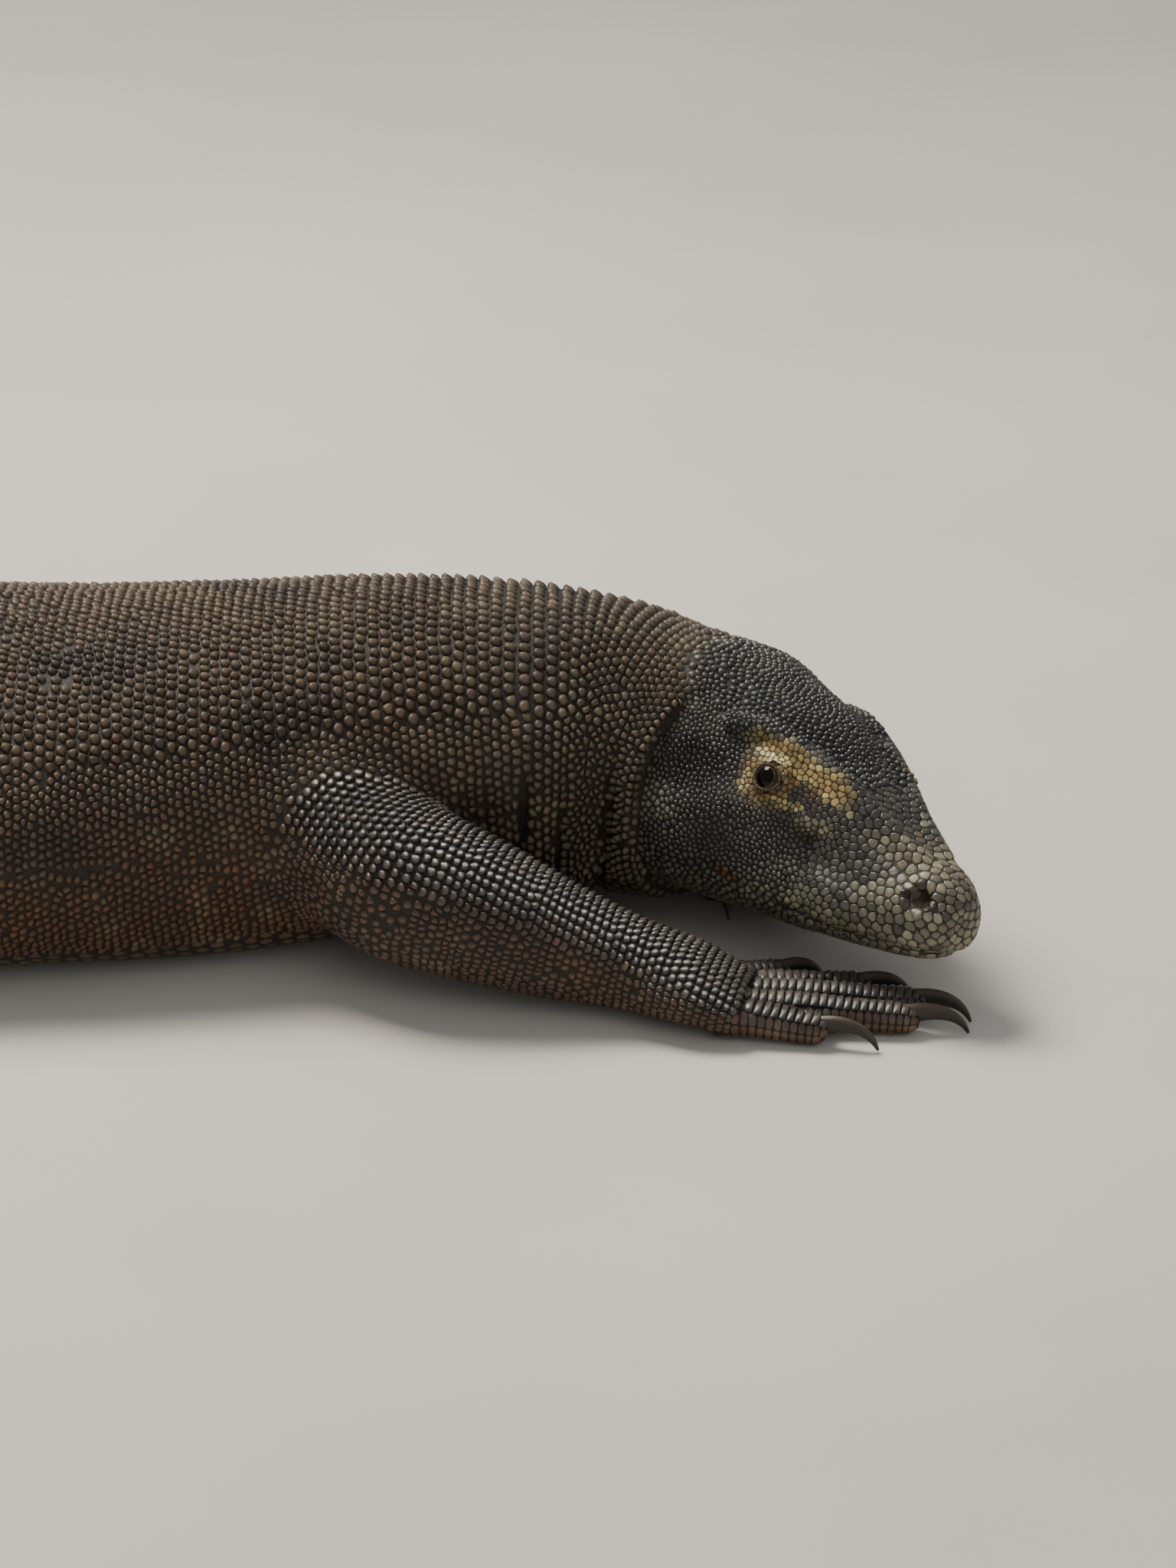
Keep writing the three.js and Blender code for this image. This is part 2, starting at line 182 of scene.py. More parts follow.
# Digits over the floor: root x, y; tip x, y; claw point x, y; half width. The first is the thumb.
DIGIT_PLANS = {
    "fore_right": (
        (380, -132, 424, -112, 448, -106, 9.5),
        (394, -142, 466, -130, 494, -128, 10.0),
        (400, -152, 494, -152, 524, -158, 10.5),
        (398, -166, 488, -172, 522, -172, 10.5),
        (386, -176, 442, -186, 473, -194, 10.5),
    ),
    "fore_left": (
        (392, 84, 424, 96, 448, 98, 9.5),
        (398, 66, 452, 50, 478, 42, 10.0),
        (396, 50, 446, 8, 466, -10, 10.5),
        (386, 38, 428, -14, 444, -36, 10.5),
        (370, 38, 392, 0, 398, -24, 10.0),
    ),
    "hind_right": (
        (-576, -308, -540, -298, -516, -294, 9.5),
        (-568, -322, -516, -326, -490, -330, 10.0),
        (-570, -336, -510, -362, -486, -374, 10.5),
        (-582, -346, -530, -398, -512, -416, 10.5),
        (-602, -344, -594, -386, -590, -410, 10.0),
    ),
    "hind_left": (
        (-638, 308, -602, 296, -578, 290, 9.5),
        (-630, 324, -578, 324, -552, 324, 10.0),
        (-632, 338, -572, 358, -546, 366, 10.5),
        (-644, 348, -590, 396, -570, 412, 10.5),
        (-662, 346, -650, 390, -644, 414, 10.0),
    ),
}
# Digit stations: share of the way from root to tip, height and half width in digit widths.
DIGIT_STATIONS = ((0, 1.15, 1.1), (0.35, 1.2, 1.0), (0.7, 1.0, 0.92), (1.0, 0.85, 0.85), (1.1, 0.7, 0.45))


# ------------------------------------------------------------------------------------------- curves
def spline(points: Array, share: Array) -> Array:
    """Reads a uniform Catmull-Rom curve.

    Args:
        points: the curve's stations, one row each.
        share: how far along the curve each reading is, from 0 to 1.

    Returns:
        One row for each reading.
    """
    ends = np.vstack([2 * points[0] - points[1], points, 2 * points[-1] - points[-2]])
    spans = len(points) - 1
    reach = np.clip(share, 0, 1) * spans
    first = np.minimum(reach.astype(int), spans - 1)
    t = (reach - first)[:, None]
    a, b, c, d = (ends[first + i] for i in range(4))
    return 0.5 * (2 * b + (c - a) * t + (2 * a - 5 * b + 4 * c - d) * t**2 + (3 * b - a - 3 * c + d) * t**3)


def power(value: Array, exponent: Array | float) -> Array:
    """Raises to a power and keeps the sign."""
    return np.sign(value) * np.abs(value) ** exponent


def ramp(value: Array, low: float, high: float) -> Array:
    """Smooth step from 0 at low to 1 at high."""
    t = np.clip((value - low) / (high - low), 0, 1)
    return t * t * (3 - 2 * t)


def unit(vectors: Array) -> Array:
    """Scales each row to length 1."""
    return vectors / np.maximum(np.linalg.norm(vectors, axis=-1, keepdims=True), 1e-9)


def rows_of(*parts: Array | float) -> Array:
    """One row for each entry: the parts are its columns, and single values are repeated."""
    return np.stack(np.broadcast_arrays(*parts), axis=1)


def run_along(line: Array, scale: Array | float = 1.0) -> Array:
    """Distance along a line at each of its points, with every step divided by a scale."""
    steps = np.linalg.norm(np.diff(line, axis=0), axis=1) / scale
    return np.concatenate([[0], np.cumsum(steps)])


def mirrored(local: Array) -> Array:
    """Places in the head's frame, folded onto its left half."""
    return local * [1, 0, 1] + np.abs(local) * [0, 1, 0]


def mouth_line(x: Array) -> Array:
    """Height of the mouth line at places along the head."""
    return np.interp(x, *np.array(MOUTH_PLAN, float)[::-1].T)


def search_tree(points: Array) -> KDTree:
    """A tree that finds the points near a place."""
    tree = KDTree(len(points))
    for i, point in enumerate(points):
        tree.insert(point, i)
    tree.balance()
    return tree


def smooth_min(a: Array, b: Array, blend: Array | float) -> Array:
    """Joins two distance fields with a fillet about as wide as blend."""
    near = np.maximum(blend - np.abs(a - b), 0) / blend
    return np.minimum(a, b) - near * near * blend * 0.25


def smooth_max(a: Array, b: Array, blend: Array | float) -> Array:
    """Keeps what lies in both distance fields, with a rounded edge."""
    return -smooth_min(-a, -b, blend)


class Noise:
    """Smooth value noise on a seeded, wrapping lattice."""

    SIDE = 32

    def __init__(self, seed: int) -> None:
        """Fills the lattice."""
        self.lattice = np.random.default_rng(seed).random((self.SIDE,) * 3)

    def read(self, points: Array, scale: float) -> Array:
        """Reads noise between 0 and 1 at points, with features about scale across."""
        place = points / scale
        whole = np.floor(place).astype(int)
        t = place - whole
        t = t * t * (3 - 2 * t)
        total = np.zeros(len(points))
        for corner in range(8):
            step = np.array([corner & 1, corner >> 1 & 1, corner >> 2])
            i, j, k = ((whole + step) % self.SIDE).T
            total += self.lattice[i, j, k] * np.prod(np.where(step, t, 1 - t), axis=1)
        return total


# -------------------------------------------------------------------------------------------- lofts
class Shell(NamedTuple):
    """A closed mesh of a loft: points, four-sided faces and the fans at its ends."""

    points: Array
    quads: Array
    fans: Array

    @classmethod
    def tube(cls, rings: Array, columns: int) -> "Shell":
        """Closes a tube.

        Args:
            rings: its points, ring by ring.
            columns: how many points a ring has.

        Returns:
            The shell. Its last two points are the middles of the first and the last ring.
        """
        index = np.arange(len(rings)).reshape(-1, columns)
        turned = np.roll(index, -1, axis=1)
        quads = np.stack([index[:-1], turned[:-1], turned[1:], index[1:]], -1).reshape(-1, 4)
        ends = np.stack([rings[:columns].mean(0), rings[-columns:].mean(0)])
        first = rows_of(len(rings), turned[0], index[0])
        last = rows_of(len(rings) + 1, index[-1], turned[-1])
        return cls(np.vstack([rings, ends]), quads, np.vstack([first, last]))


def tube_grid(stations: Array, columns: int) -> tuple[Array, Array]:
    """The station and the angle of each point of a tube, ring by ring."""
    angles = np.arange(columns) * (2 * math.pi / columns)
    return np.repeat(stations, columns), np.tile(angles, len(stations))


@dataclass
class Loft:
    """A tube through stations. Each station is a centre followed by its section's sizes."""

    name: str
    plan: Array

    def sizes(self, share: Array) -> Array:
        """The section's sizes at each share of the length."""
        return spline(self.plan[:, 3:], share)

    def centre(self, share: Array) -> Array:
        """The centre line at each share of the length."""
        return spline(self.plan[:, :3], share)

    def axes(self, share: Array) -> tuple[Array, Array, Array]:
        """The forward, side and up directions of the sections at each share."""
        step = 1e-4
        ahead, behind = np.minimum(share + step, 1), np.maximum(share - step, 0)
        forward = unit(self.centre(ahead) - self.centre(behind))
        side = unit(np.cross(np.array([0.0, 0.0, 1.0]), forward))
        return forward, side, np.cross(forward, side)

    def outline(self, share: Array, angle: Array) -> tuple[Array, Array]:
        """How far the section reaches to the side and up, at angles measured from its top."""
        across, through = self.sizes(share).T[:2]
        return np.sin(angle) * across, np.cos(angle) * through

    def surface(self, share: Array, angle: Array) -> Array:
        """Points on the tube, in the plan frame."""
        across, rise = self.outline(share, angle)
        _, side, up = self.axes(share)
        return self.centre(share) + side * across[:, None] + up * rise[:, None]

    def shell(self, rows: int, columns: int, first: float = 0.0, last: float = 1.0) -> Shell:
        """A closed mesh of the stretch between two shares."""
        share, angle = tube_grid(np.linspace(first, last, rows), columns)
        return Shell.tube(self.surface(share, angle), columns)

    def lengths(self, samples: int = 600) -> tuple[Array, Array]:
        """Shares of the length and the distance along the centre line to each."""
        share = np.linspace(0, 1, samples)
        return share, run_along(self.centre(share))


class Trunk(Loft):
    """Trunk, neck and tail: flat under the belly, nearly round over the back."""

    def outline(self, share: Array, angle: Array) -> tuple[Array, Array]:
        """Overrides the oval of a limb."""
        across, above, below = self.sizes(share).T
        top = np.cos(angle) > 0
        return (
            power(np.sin(angle), np.where(top, 1.0, 0.72)) * across,
            power(np.cos(angle), np.where(top, 0.92, 0.66)) * np.where(top, above, below),
        )


class HeadLoft(Loft):
    """The head in its own frame: snout tip at the origin, +X forward, placed by a turn and a shift."""

    def __init__(self) -> None:
        """Reads the head's plan and works out its turn."""
        plan = np.array(HEAD_PLAN, float)
        back = plan[:, :1]
        super().__init__("head", np.hstack([-back, 0 * back, 0 * back, plan[:, 1:]]))
        roll, pitch, yaw = (math.radians(a) for a in HEAD_TURN)
        turn = Matrix.Rotation(yaw, 3, "Z") @ Matrix.Rotation(pitch, 3, "Y") @ Matrix.Rotation(roll, 3, "X")
        self.turn = np.array(turn)
        self.tip = np.array(HEAD_TIP)

    def outline(self, share: Array, angle: Array) -> tuple[Array, Array]:
        """Cheeks, a side that leans in to the brow, and a flat crown."""
        cheek, crown, top, jaw, level = self.sizes(share).T
        s, c = np.sin(angle), np.cos(angle)
        reach = cheek + (crown * 1.2 - cheek) * ramp(c, 0.05, 0.7)
        low = c < 0
        return (
            np.where(low, power(s, 0.85) * cheek, power(s, 0.75) * reach),
            level + np.where(low, power(c, 0.8) * (jaw + level), power(c, 0.6) * (top - level)),
        )

    def surface(self, share: Array, angle: Array) -> Array:
        """Points on the head, in the plan frame."""
        across, rise = self.outline(share, angle)
        return self.to_plan(rows_of(self.centre(share)[:, 0], across, rise))

    def to_plan(self, local: Array) -> Array:
        """Turns points of the head's frame into the plan frame."""
        return local @ self.turn.T + self.tip

    def to_local(self, points: Array) -> Array:
        """Turns points of the plan frame into the head's frame."""
        return (points - self.tip) @ self.turn


def digit_loft(name: str, plan: Sequence[float]) -> Loft:
    """The tube of one digit.

    Args:
        name: the digit's name.
        plan: root, tip and claw point over the floor, then the half width.

    Returns:
        The loft from root to rounded end.
    """
    root, tip, wide = np.array(plan[0:2]), np.array(plan[2:4]), plan[6]
    rows = [(*(root + (tip - root) * share), wide * height, wide * size, wide * size)
            for share, height, size in DIGIT_STATIONS]
    return Loft(name, np.array(rows, float))


# ------------------------------------------------------------------------------------------- fields
@dataclass
class Field:
    """Signed distances on a regular grid: millimetres, negative inside."""

    low: Array
    step: float
    values: Array

    @classmethod
    def empty(cls, low: Sequence[float], high: Sequence[float], step: float) -> "Field":
        """A field with nothing near."""
        low = np.array(low, float)
        shape = np.ceil((np.array(high, float) - low) / step).astype(int) + 1
        return cls(low, step, np.full(tuple(shape), BAND, np.float32))

    @property
    def high(self) -> Array:
        """The far corner."""
        return self.low + (np.array(self.values.shape) - 1) * self.step

    def window(self, low: Array, high: Array) -> tuple[slice, slice, slice] | None:
        """The part of the grid within two corners, or None where they miss it."""
        first = np.maximum(np.floor((low - self.low) / self.step).astype(int), 0)
        last = np.minimum(np.ceil((high - self.low) / self.step).astype(int) + 1, self.values.shape)
        if (last - first < 2).any():
            return None
        return tuple(slice(a, b) for a, b in zip(first, last))

    def solid(self, shell: Shell) -> tuple[tuple[slice, slice, slice], "Field"] | None:
        """Distances to a closed mesh, near it.

        Args:
            shell: the closed mesh.

        Returns:
            The window of this grid that the mesh reaches, and the distances in it.
        """
        window = self.window(shell.points.min(0) - BAND, shell.points.max(0) + BAND)
        if window is None:
            return None
        low = self.low + np.array([s.start for s in window]) * self.step
        values = np.empty(tuple(s.stop - s.start for s in window), np.float32)
        grid = vdb.FloatGrid.createLevelSetFromPolygons(
            (shell.points - low).astype(np.float32),
            triangles=shell.fans.astype(np.uint32),
            quads=shell.quads.astype(np.uint32),
            transform=vdb.createLinearTransform(voxelSize=self.step),
            halfWidth=BAND / self.step,
        )
        grid.copyToArray(values, ijk=(0, 0, 0))
        return window, Field(low, self.step, values)

    def nodes(self) -> tuple[Array, Array, Array]:
        """Open arrays of the x, y and z of the grid's nodes."""
        return np.ix_(*(self.low[i] + np.arange(n) * self.step for i, n in enumerate(self.values.shape)))

    def reading(self, points: Array) -> Array:
        """Distances at points, and the far distance at those beyond the grid."""
        gap = np.full(len(points), BAND)
        inside = ((points > self.low) & (points < self.high)).all(axis=1)
        if inside.any():
            gap[inside] = self.sample(points[inside])
        return gap

    def sample(self, points: Array) -> Array:
        """Reads distances at points by linear interpolation."""
        place = (points - self.low) / self.step
        place = np.clip(place, 0, np.array(self.values.shape) - 1.001)
        whole = place.astype(np.int32)
        x, y, z = (place - whole).T
        i, j, k = whole.T
        flat = self.values.ravel()
        _, ny, nz = self.values.shape
        base = (i * ny + j) * nz + k
        rows = []
        for dx in (0, ny * nz):
            for dy in (0, nz):
                start = base + dx + dy
                a = flat[start]
                rows.append(a + (flat[start + 1] - a) * z)
        near = rows[0] + (rows[1] - rows[0]) * y
        far = rows[2] + (rows[3] - rows[2]) * y
        return near + (far - near) * x


def capsule(q: Array, a: Sequence[float], b: Sequence[float], radius: float) -> Array:
    """Distance to a rod with round ends."""
    a, b = np.array(a, float), np.array(b, float)
    t = np.clip((q - a) @ (b - a) / ((b - a) @ (b - a)), 0, 1)
    return np.linalg.norm(q - a - t[:, None] * (b - a), axis=1) - radius


def ellipsoid(q: Array, centre: Sequence[float], radii: Sequence[float], axes: Array | None = None) -> Array:
    """Nearly the distance to an ellipsoid; axes holds its three directions as columns."""
    offset = q - np.array(centre, float)
    if axes is not None:
        offset = offset @ axes
    radii = np.array(radii, float)
    near = np.linalg.norm(offset / radii, axis=1)
    return near * (near - 1) / np.maximum(np.linalg.norm(offset / radii**2, axis=1), 1e-6)


@dataclass(frozen=True)
class HeadForms:
    """The folds, ridges and openings of the head, in its own frame. Both sides are alike."""

    brow: tuple = ((-36, 10, 20.5), (-60, 16, 31), (-82, 23, 42.5), (-100, 29, 49.5), (-116, 34, 54),
                   (-134, 39, 57), (-152, 46, 54))
    brow_radius: float = 6.5
    socket: tuple = (-2.0, 12.5, 2.0)  # hollow round the eye: along the slit, outwards, across it
    socket_size: tuple = (19.0, 6.5, 13.0)
    lid_radius: float = 12.3
    gaze: tuple = (0.10, 0.96, 0.26)  # out of the eye
    opening: tuple = (6.9, 8.0, 5.3)  # along the slit, outwards, across the slit
    slit_tilt: float = 10.0
    jaw_muscle: tuple = (-176, 56, -4)
    jaw_muscle_size: tuple = (36, 15, 33)
    temple: tuple = (-146, 70, 30)
    temple_size: tuple = (20, 14, 12)
    loreal: tuple = (-64, 38, 10)
    loreal_size: tuple = (26, 5.5, 11)
    nostril: tuple = (-17.5, 23, 6.5)
    nostril_size: tuple = (6.4, 9.0, 5.5)
    nostril_rim: float = 8.0  # radius of the swelling round the nostril, then its own
    nostril_lip: float = 2.2
    opening_out: float = 9.5  # from the middle of the eye out to the middle of the opening
    fold_out: float = 6.5  # the fold round the lids: its distance out of the eye, radius, depth
    fold_radius: float = 13.0
    fold_depth: float = 1.2
    lip_groove: float = 2.4

    def eye_axes(self) -> Array:
        """Columns: along the lid slit, out of the eye, and across the slit."""
        out = unit(np.array(self.gaze))
        along = unit(np.cross(out, np.array([math.sin(math.radians(-self.slit_tilt)), 0,
                                             math.cos(math.radians(self.slit_tilt))])))
        return np.stack([along, out, np.cross(along, out)], axis=1)

    def carve(self, d: Array, local: Array) -> Array:
        """Adds the head's forms to distances.

        Args:
            d: distances to the plain head and what it joins.
            local: the same places in the head's frame.

        Returns:
            The new distances.
        """
        q = mirrored(local)
        rods = [capsule(q, a, b, self.brow_radius) for a, b in zip(self.brow, self.brow[1:])]
        d = smooth_min(d, np.min(rods, axis=0), 6.0)
        d = smooth_min(d, ellipsoid(q, self.jaw_muscle, self.jaw_muscle_size), 16.0)
        d = smooth_max(d, -ellipsoid(q, self.temple, self.temple_size), 12.0)
        d = smooth_max(d, -ellipsoid(q, self.loreal, self.loreal_size), 10.0)
        axes = self.eye_axes()
        eye, out = np.array(EYE_AT), axes[:, 1]
        d = smooth_max(d, -ellipsoid(q, eye + axes @ np.array(self.socket), self.socket_size, axes), 6.0)
        d = smooth_min(d, np.linalg.norm(q - eye, axis=1) - self.lid_radius, 4.0)
        d = smooth_max(d, -ellipsoid(q, eye + out * self.opening_out, self.opening, axes), 1.2)
        ring = q - (eye + out * self.fold_out)
        flat = np.linalg.norm(ring - np.outer(ring @ out, out), axis=1)
        d = smooth_max(d, self.fold_depth - np.hypot(flat - self.fold_radius, ring @ out), 2.5)
        nostril = np.array(self.nostril)
        x, y, z = (q - nostril - [0, 0.5, 0]).T
        d = smooth_min(d, np.hypot(np.hypot(x, z) - self.nostril_rim, y) - self.nostril_lip, 3.5)
        d = smooth_max(d, -ellipsoid(q, nostril + [0, 1.5, 0], self.nostril_size), 1.5)
        lip = ramp(q[:, 0], MOUTH_CORNER - 10, MOUTH_CORNER + 12)
        lip *= np.exp(-((q[:, 2] - mouth_line(q[:, 0])) / 1.7) ** 2)
        return d + self.lip_groove * lip


@dataclass(frozen=True)
class NeckFolds:
    """Creases round the right side of the neck: plan x, depth and half width of each."""

    creases: tuple = ((262, 3.0, 3.2), (284, 5.0, 3.2), (305, 3.6, 2.8), (330, 5.0, 3.4))
    lean: float = 0.10

    def carve(self, field: Field) -> None:
        """Presses the creases into a field."""
        x, y, z = field.nodes()
        fade = (1 - ramp(z, 92, 138)) * (0.25 + 0.75 * ramp(-y, -20, 30))
        for place, depth, half in self.creases:
            dent = depth * fade * np.exp(-(((x - place - self.lean * (z - 80)) / half) ** 2))
            field.values += dent.astype(np.float32)


class Hide:
    """All the flesh as one form: the lofts joined with fillets, rested on the floor and creased."""

    LEG_BLEND = {"fore": (24.0, 60.0, 125.0), "hind": (26.0, 110.0, 220.0)}  # fillet, fades from, to
    TOE_BLEND = 5.0
    TAIL_END = 0.042  # share of the trunk that is too thin for the coarse field
    FINE_EYE = 30.0  # radius of the finest skin round an eye
    FINE_MUZZLE = (68, 50, 46)  # half sizes of the finest skin round the snout's tip
    SCATTER_REACH = 9.0  # how near a loft the skin counts as possibly its own

    def __init__(self, trunk: Trunk, head: HeadLoft, legs: dict[str, Loft], digits: dict[str, Loft]) -> None:
        """Models the coarse field of the whole and the fine ones of the head, hands and feet."""
        self.trunk, self.head, self.legs, self.digits = trunk, head, legs, digits
        self.parts: dict[str, Field] = {}
        self.forms = HeadForms()
        self.whole = self.model(Field.empty((-1930, -440, -15), (560, 440, 210), 6.0), True)
        self.details = [
            self.model(Field.empty((262, -262, -8), (562, 140, 196), 1.6)),
            self.model(Field.empty((-700, -440, -8), (-470, -225, 80), 2.6)),
            self.model(Field.empty((-760, 225, -8), (-530, 440, 80), 2.6)),
            self.model(Field.empty((-1930, 300, -8), (-1740, 400, 34), 1.6)),
        ]

    def trunk_stretch(self, field: Field) -> tuple[float, float] | None:
        """The shares of the trunk that come near a field."""
        share = np.linspace(0, 1, 400)
        x = self.trunk.centre(share)[:, 0]
        near = (x > field.low[0] - 2 * BAND) & (x < field.high[0] + 2 * BAND)
        return (share[near].min(), share[near].max()) if near.any() else None

    def model(self, field: Field, keep: bool = False) -> Field:
        """Joins every loft into a field.

        Args:
            field: the empty field.
            keep: whether the distances of each loft are kept, to tell whose surface is nearest.

        Returns:
            The field.
        """
        def join(loft: Loft, shell: Shell, blend: Callable[[Field], Array | float] | float) -> None:
            """Adds one loft with its fillet."""
            found = field.solid(shell)
            if found is None:
                return
            window, near = found
            if keep:
                self.parts[loft.name] = near
            width = blend(near) if callable(blend) else blend
            field.values[window] = smooth_min(field.values[window], near.values, width)

        def leg_blend(loft: Loft) -> Callable[[Field], Array]:
            """The fillet of a leg, wide at its root."""
            width, start, stop = self.LEG_BLEND[loft.name.split("_")[0]]
            root = loft.plan[0, :3]

            def read(near: Field) -> Array:
                """Fillet width over the window."""
                x, y, z = near.nodes()
                reach = np.sqrt((x - root[0]) ** 2 + (y - root[1]) ** 2 + (z - root[2]) ** 2)
                return (4 + (width - 4) * (1 - ramp(reach, start, stop))).astype(np.float32)
            return read

        def head_blend(near: Field) -> Array:
            """Smooth over the nape, a sharp crease behind the jaw."""
            return (3 + 19 * ramp(near.nodes()[2], 136, 170)).astype(np.float32)

        stretch = self.trunk_stretch(field)
        rows = 260 if keep else 120
        join(self.trunk, self.trunk.shell(rows, 96, *stretch), 1.0)
        NeckFolds().carve(field)
        for leg in self.legs.values():
            join(leg, leg.shell(60, 48), leg_blend(leg))
        for digit in self.digits.values():
            join(digit, digit.shell(24, 24), self.TOE_BLEND)
        join(self.head, self.head.shell(90, 96), head_blend)
        if field.high[0] > HEAD_TIP[0]:
            self.carve_head(field)
        _, _, z = field.nodes()
        field.values = smooth_max(field.values, (-z).astype(np.float32), 2.0).astype(np.float32)
        return field

    def carve_head(self, field: Field) -> None:
        """Gives the head its folds, in the nodes near it."""
        window, near = field.solid(self.head.shell(90, 96))
        values = field.values[window]
        close = np.abs(near.values) < 16
        x, y, z = (np.broadcast_to(axis, values.shape)[close] for axis in near.nodes())
        local = self.head.to_local(np.stack([x, y, z], axis=1).astype(float))
        values[close] = self.forms.carve(values[close].astype(float), local)

    def sample(self, points: Array) -> Array:
        """Distance from the modelled form at each point."""
        d = self.whole.sample(points)
        for detail in self.details:
            depth = np.minimum(points - detail.low, detail.high - points).min(axis=1)
            inside = depth > 1
            if inside.any():
                weight = ramp(depth[inside], 1, 12)
                d[inside] += (detail.sample(points[inside]) - d[inside]) * weight
        return d

    def slope(self, points: Array, reach: float = 1.6) -> Array:
        """The outward direction at each point."""
        rows = []
        for axis in range(3):
            step = np.zeros(3)
            step[axis] = reach
            rows.append(self.sample(points + step) - self.sample(points - step))
        return unit(np.stack(rows, axis=1))

    def settle(self, points: Array, rounds: int = 4, limit: float = 4.0) -> Array:
        """Moves points onto the skin."""
        points = points.copy()
        for _ in range(rounds):
            gap = np.clip(self.sample(points) + COAT_DEPTH, -limit, limit)
            points -= self.slope(points) * gap[:, None]
        return points

    def owner_distance(self, name: str, points: Array) -> Array:
        """Distance to the nearest other loft; negative where the point lies inside one."""
        nearest = np.full(len(points), BAND)
        for other, part in self.parts.items():
            if other != name:
                nearest = np.minimum(nearest, part.reading(points))
        return nearest

    def detailed(self, points: Array) -> Array:
        """Marks points well within a fine field."""
        marks = np.zeros(len(points), bool)
        for detail in self.details:
            marks |= (np.minimum(points - detail.low, detail.high - points) > 6).all(axis=1)
        return marks & (points[:, 2] > 1)

    def finest(self, points: Array) -> Array:
        """Marks points on the muzzle and round the eyes."""
        q = mirrored(self.head.to_local(points))
        eye = np.linalg.norm(q - np.array(EYE_AT), axis=1) < self.FINE_EYE
        return eye | (np.linalg.norm(q / self.FINE_MUZZLE, axis=1) < 1)

    def scatter(self, mesh: SkinMesh, near: str, count: int, rng: np.random.Generator) -> Array:
        """Random places on the skin, even by area, where one loft is the nearest.

        Args:
            mesh: the skin.
            near: the loft's name.
            count: how many places to try.
            rng: the source of chance.

        Returns:
            The places.
        """
        points, (threes, fours) = mesh
        faces = np.vstack([threes, fours[:, [0, 1, 2]], fours[:, [0, 2, 3]]])
        part = self.parts[near]
        faces = faces[part.reading(points[faces].mean(1)) < self.SCATTER_REACH]
        a, b, c = (points[faces[:, i]] for i in range(3))
        area = np.linalg.norm(np.cross(b - a, c - a), axis=1)
        picked = rng.choice(len(faces), count, p=area / area.sum())
        u, v = rng.random((2, count, 1))
        fold = (u + v) > 1
        u, v = np.where(fold, 1 - u, u), np.where(fold, 1 - v, v)
        places = a[picked] + u * (b - a)[picked] + v * (c - a)[picked]
        own = self.owner_distance(near, places)
        return places[(own > 0.3) & (own > part.sample(places))]

    def skin(self) -> SkinMesh:
        """The skin as one closed mesh, finer on the head, hands and feet.

        Returns:
            The points in the plan frame, and the faces.
        """
        grid = vdb.FloatGrid()
        grid.copyFromArray(np.ascontiguousarray(self.whole.values))
        grid.gridClass = vdb.GridClass.LEVEL_SET
        points, quads = grid.convertToQuads(isovalue=-COAT_DEPTH)
        points = points.astype(float) * self.whole.step + self.whole.low
        end = self.trunk.shell(50, 16, 0.0, self.TAIL_END)
        quads = np.vstack([quads[:, ::-1], end.quads + len(points)])
        fans = end.fans + len(points)
        points = np.vstack([points, end.points])
        form = bmesh.new()
        for point in points:
            form.verts.new(point)
        form.verts.ensure_lookup_table()
        for corners in fans.tolist():
            form.faces.new([form.verts[i] for i in corners])
        for corners in quads.tolist():
            form.faces.new([form.verts[i] for i in corners])
        for chosen in (self.detailed, self.finest):
            marks = chosen(np.array([v.co[:] for v in form.verts]))
            form.verts.index_update()
            inside = [e for e in form.edges if marks[e.verts[0].index] and marks[e.verts[1].index]]
            bmesh.ops.subdivide_edges(form, edges=inside, cuts=1, use_grid_fill=True)
        bmesh.ops.triangulate(form, faces=[f for f in form.faces if len(f.verts) > 4])
        form.verts.index_update()
        points = self.settle(np.array([v.co[:] for v in form.verts]), 5)
        faces = [[v.index for v in f.verts] for f in form.faces]
        form.free()
        return points, [np.array([f for f in faces if len(f) == n]) for n in (3, 4)]


# --------------------------------------------------------------------------------------- scale beds
class Style(Enum):
    """The kinds of scale."""

    DOME = "dome"
    SHINGLE = "shingle"
    OVAL = "oval"
    GRANULE = "granule"
    PLATE = "plate"
    BEAD = "bead"
    BAND = "band"
    BELLY = "belly"

    @property
    def code(self) -> int:
        """The number that stands for this kind in a bed."""
        return list(Style).index(self)


@dataclass(frozen=True)
class ScaleForm:
    """The shape of one kind of scale.

    Args:
        directions: corners round its rim.
        rings: share of the rim's reach and share of the height, from the rim inwards.
        height: rise over the skin as a share of the half width.
        groove: gap to each neighbour, in millimetres.
        lean: how far the top slides towards the free end, as a share of the half length.
        lift: how much higher the free end stands than the root.
        square: 2 for an oval outline, more for a boxy one.
        swell: how far the outline may reach past its own half sizes, where nothing is in the way.
    """

    directions: int
    rings: tuple[tuple[float, float], ...]
    height: float
    groove: float
    lean: float = 0.0
    lift: float = 0.0
    square: float = 2.0
    swell: float = 1.12

    def spokes(self) -> tuple[Array, Array]:
        """Cosine and sine of the way to each corner."""
        turn = (np.arange(self.directions) + 0.5) * (2 * math.pi / self.directions)
        return np.cos(turn), np.sin(turn)


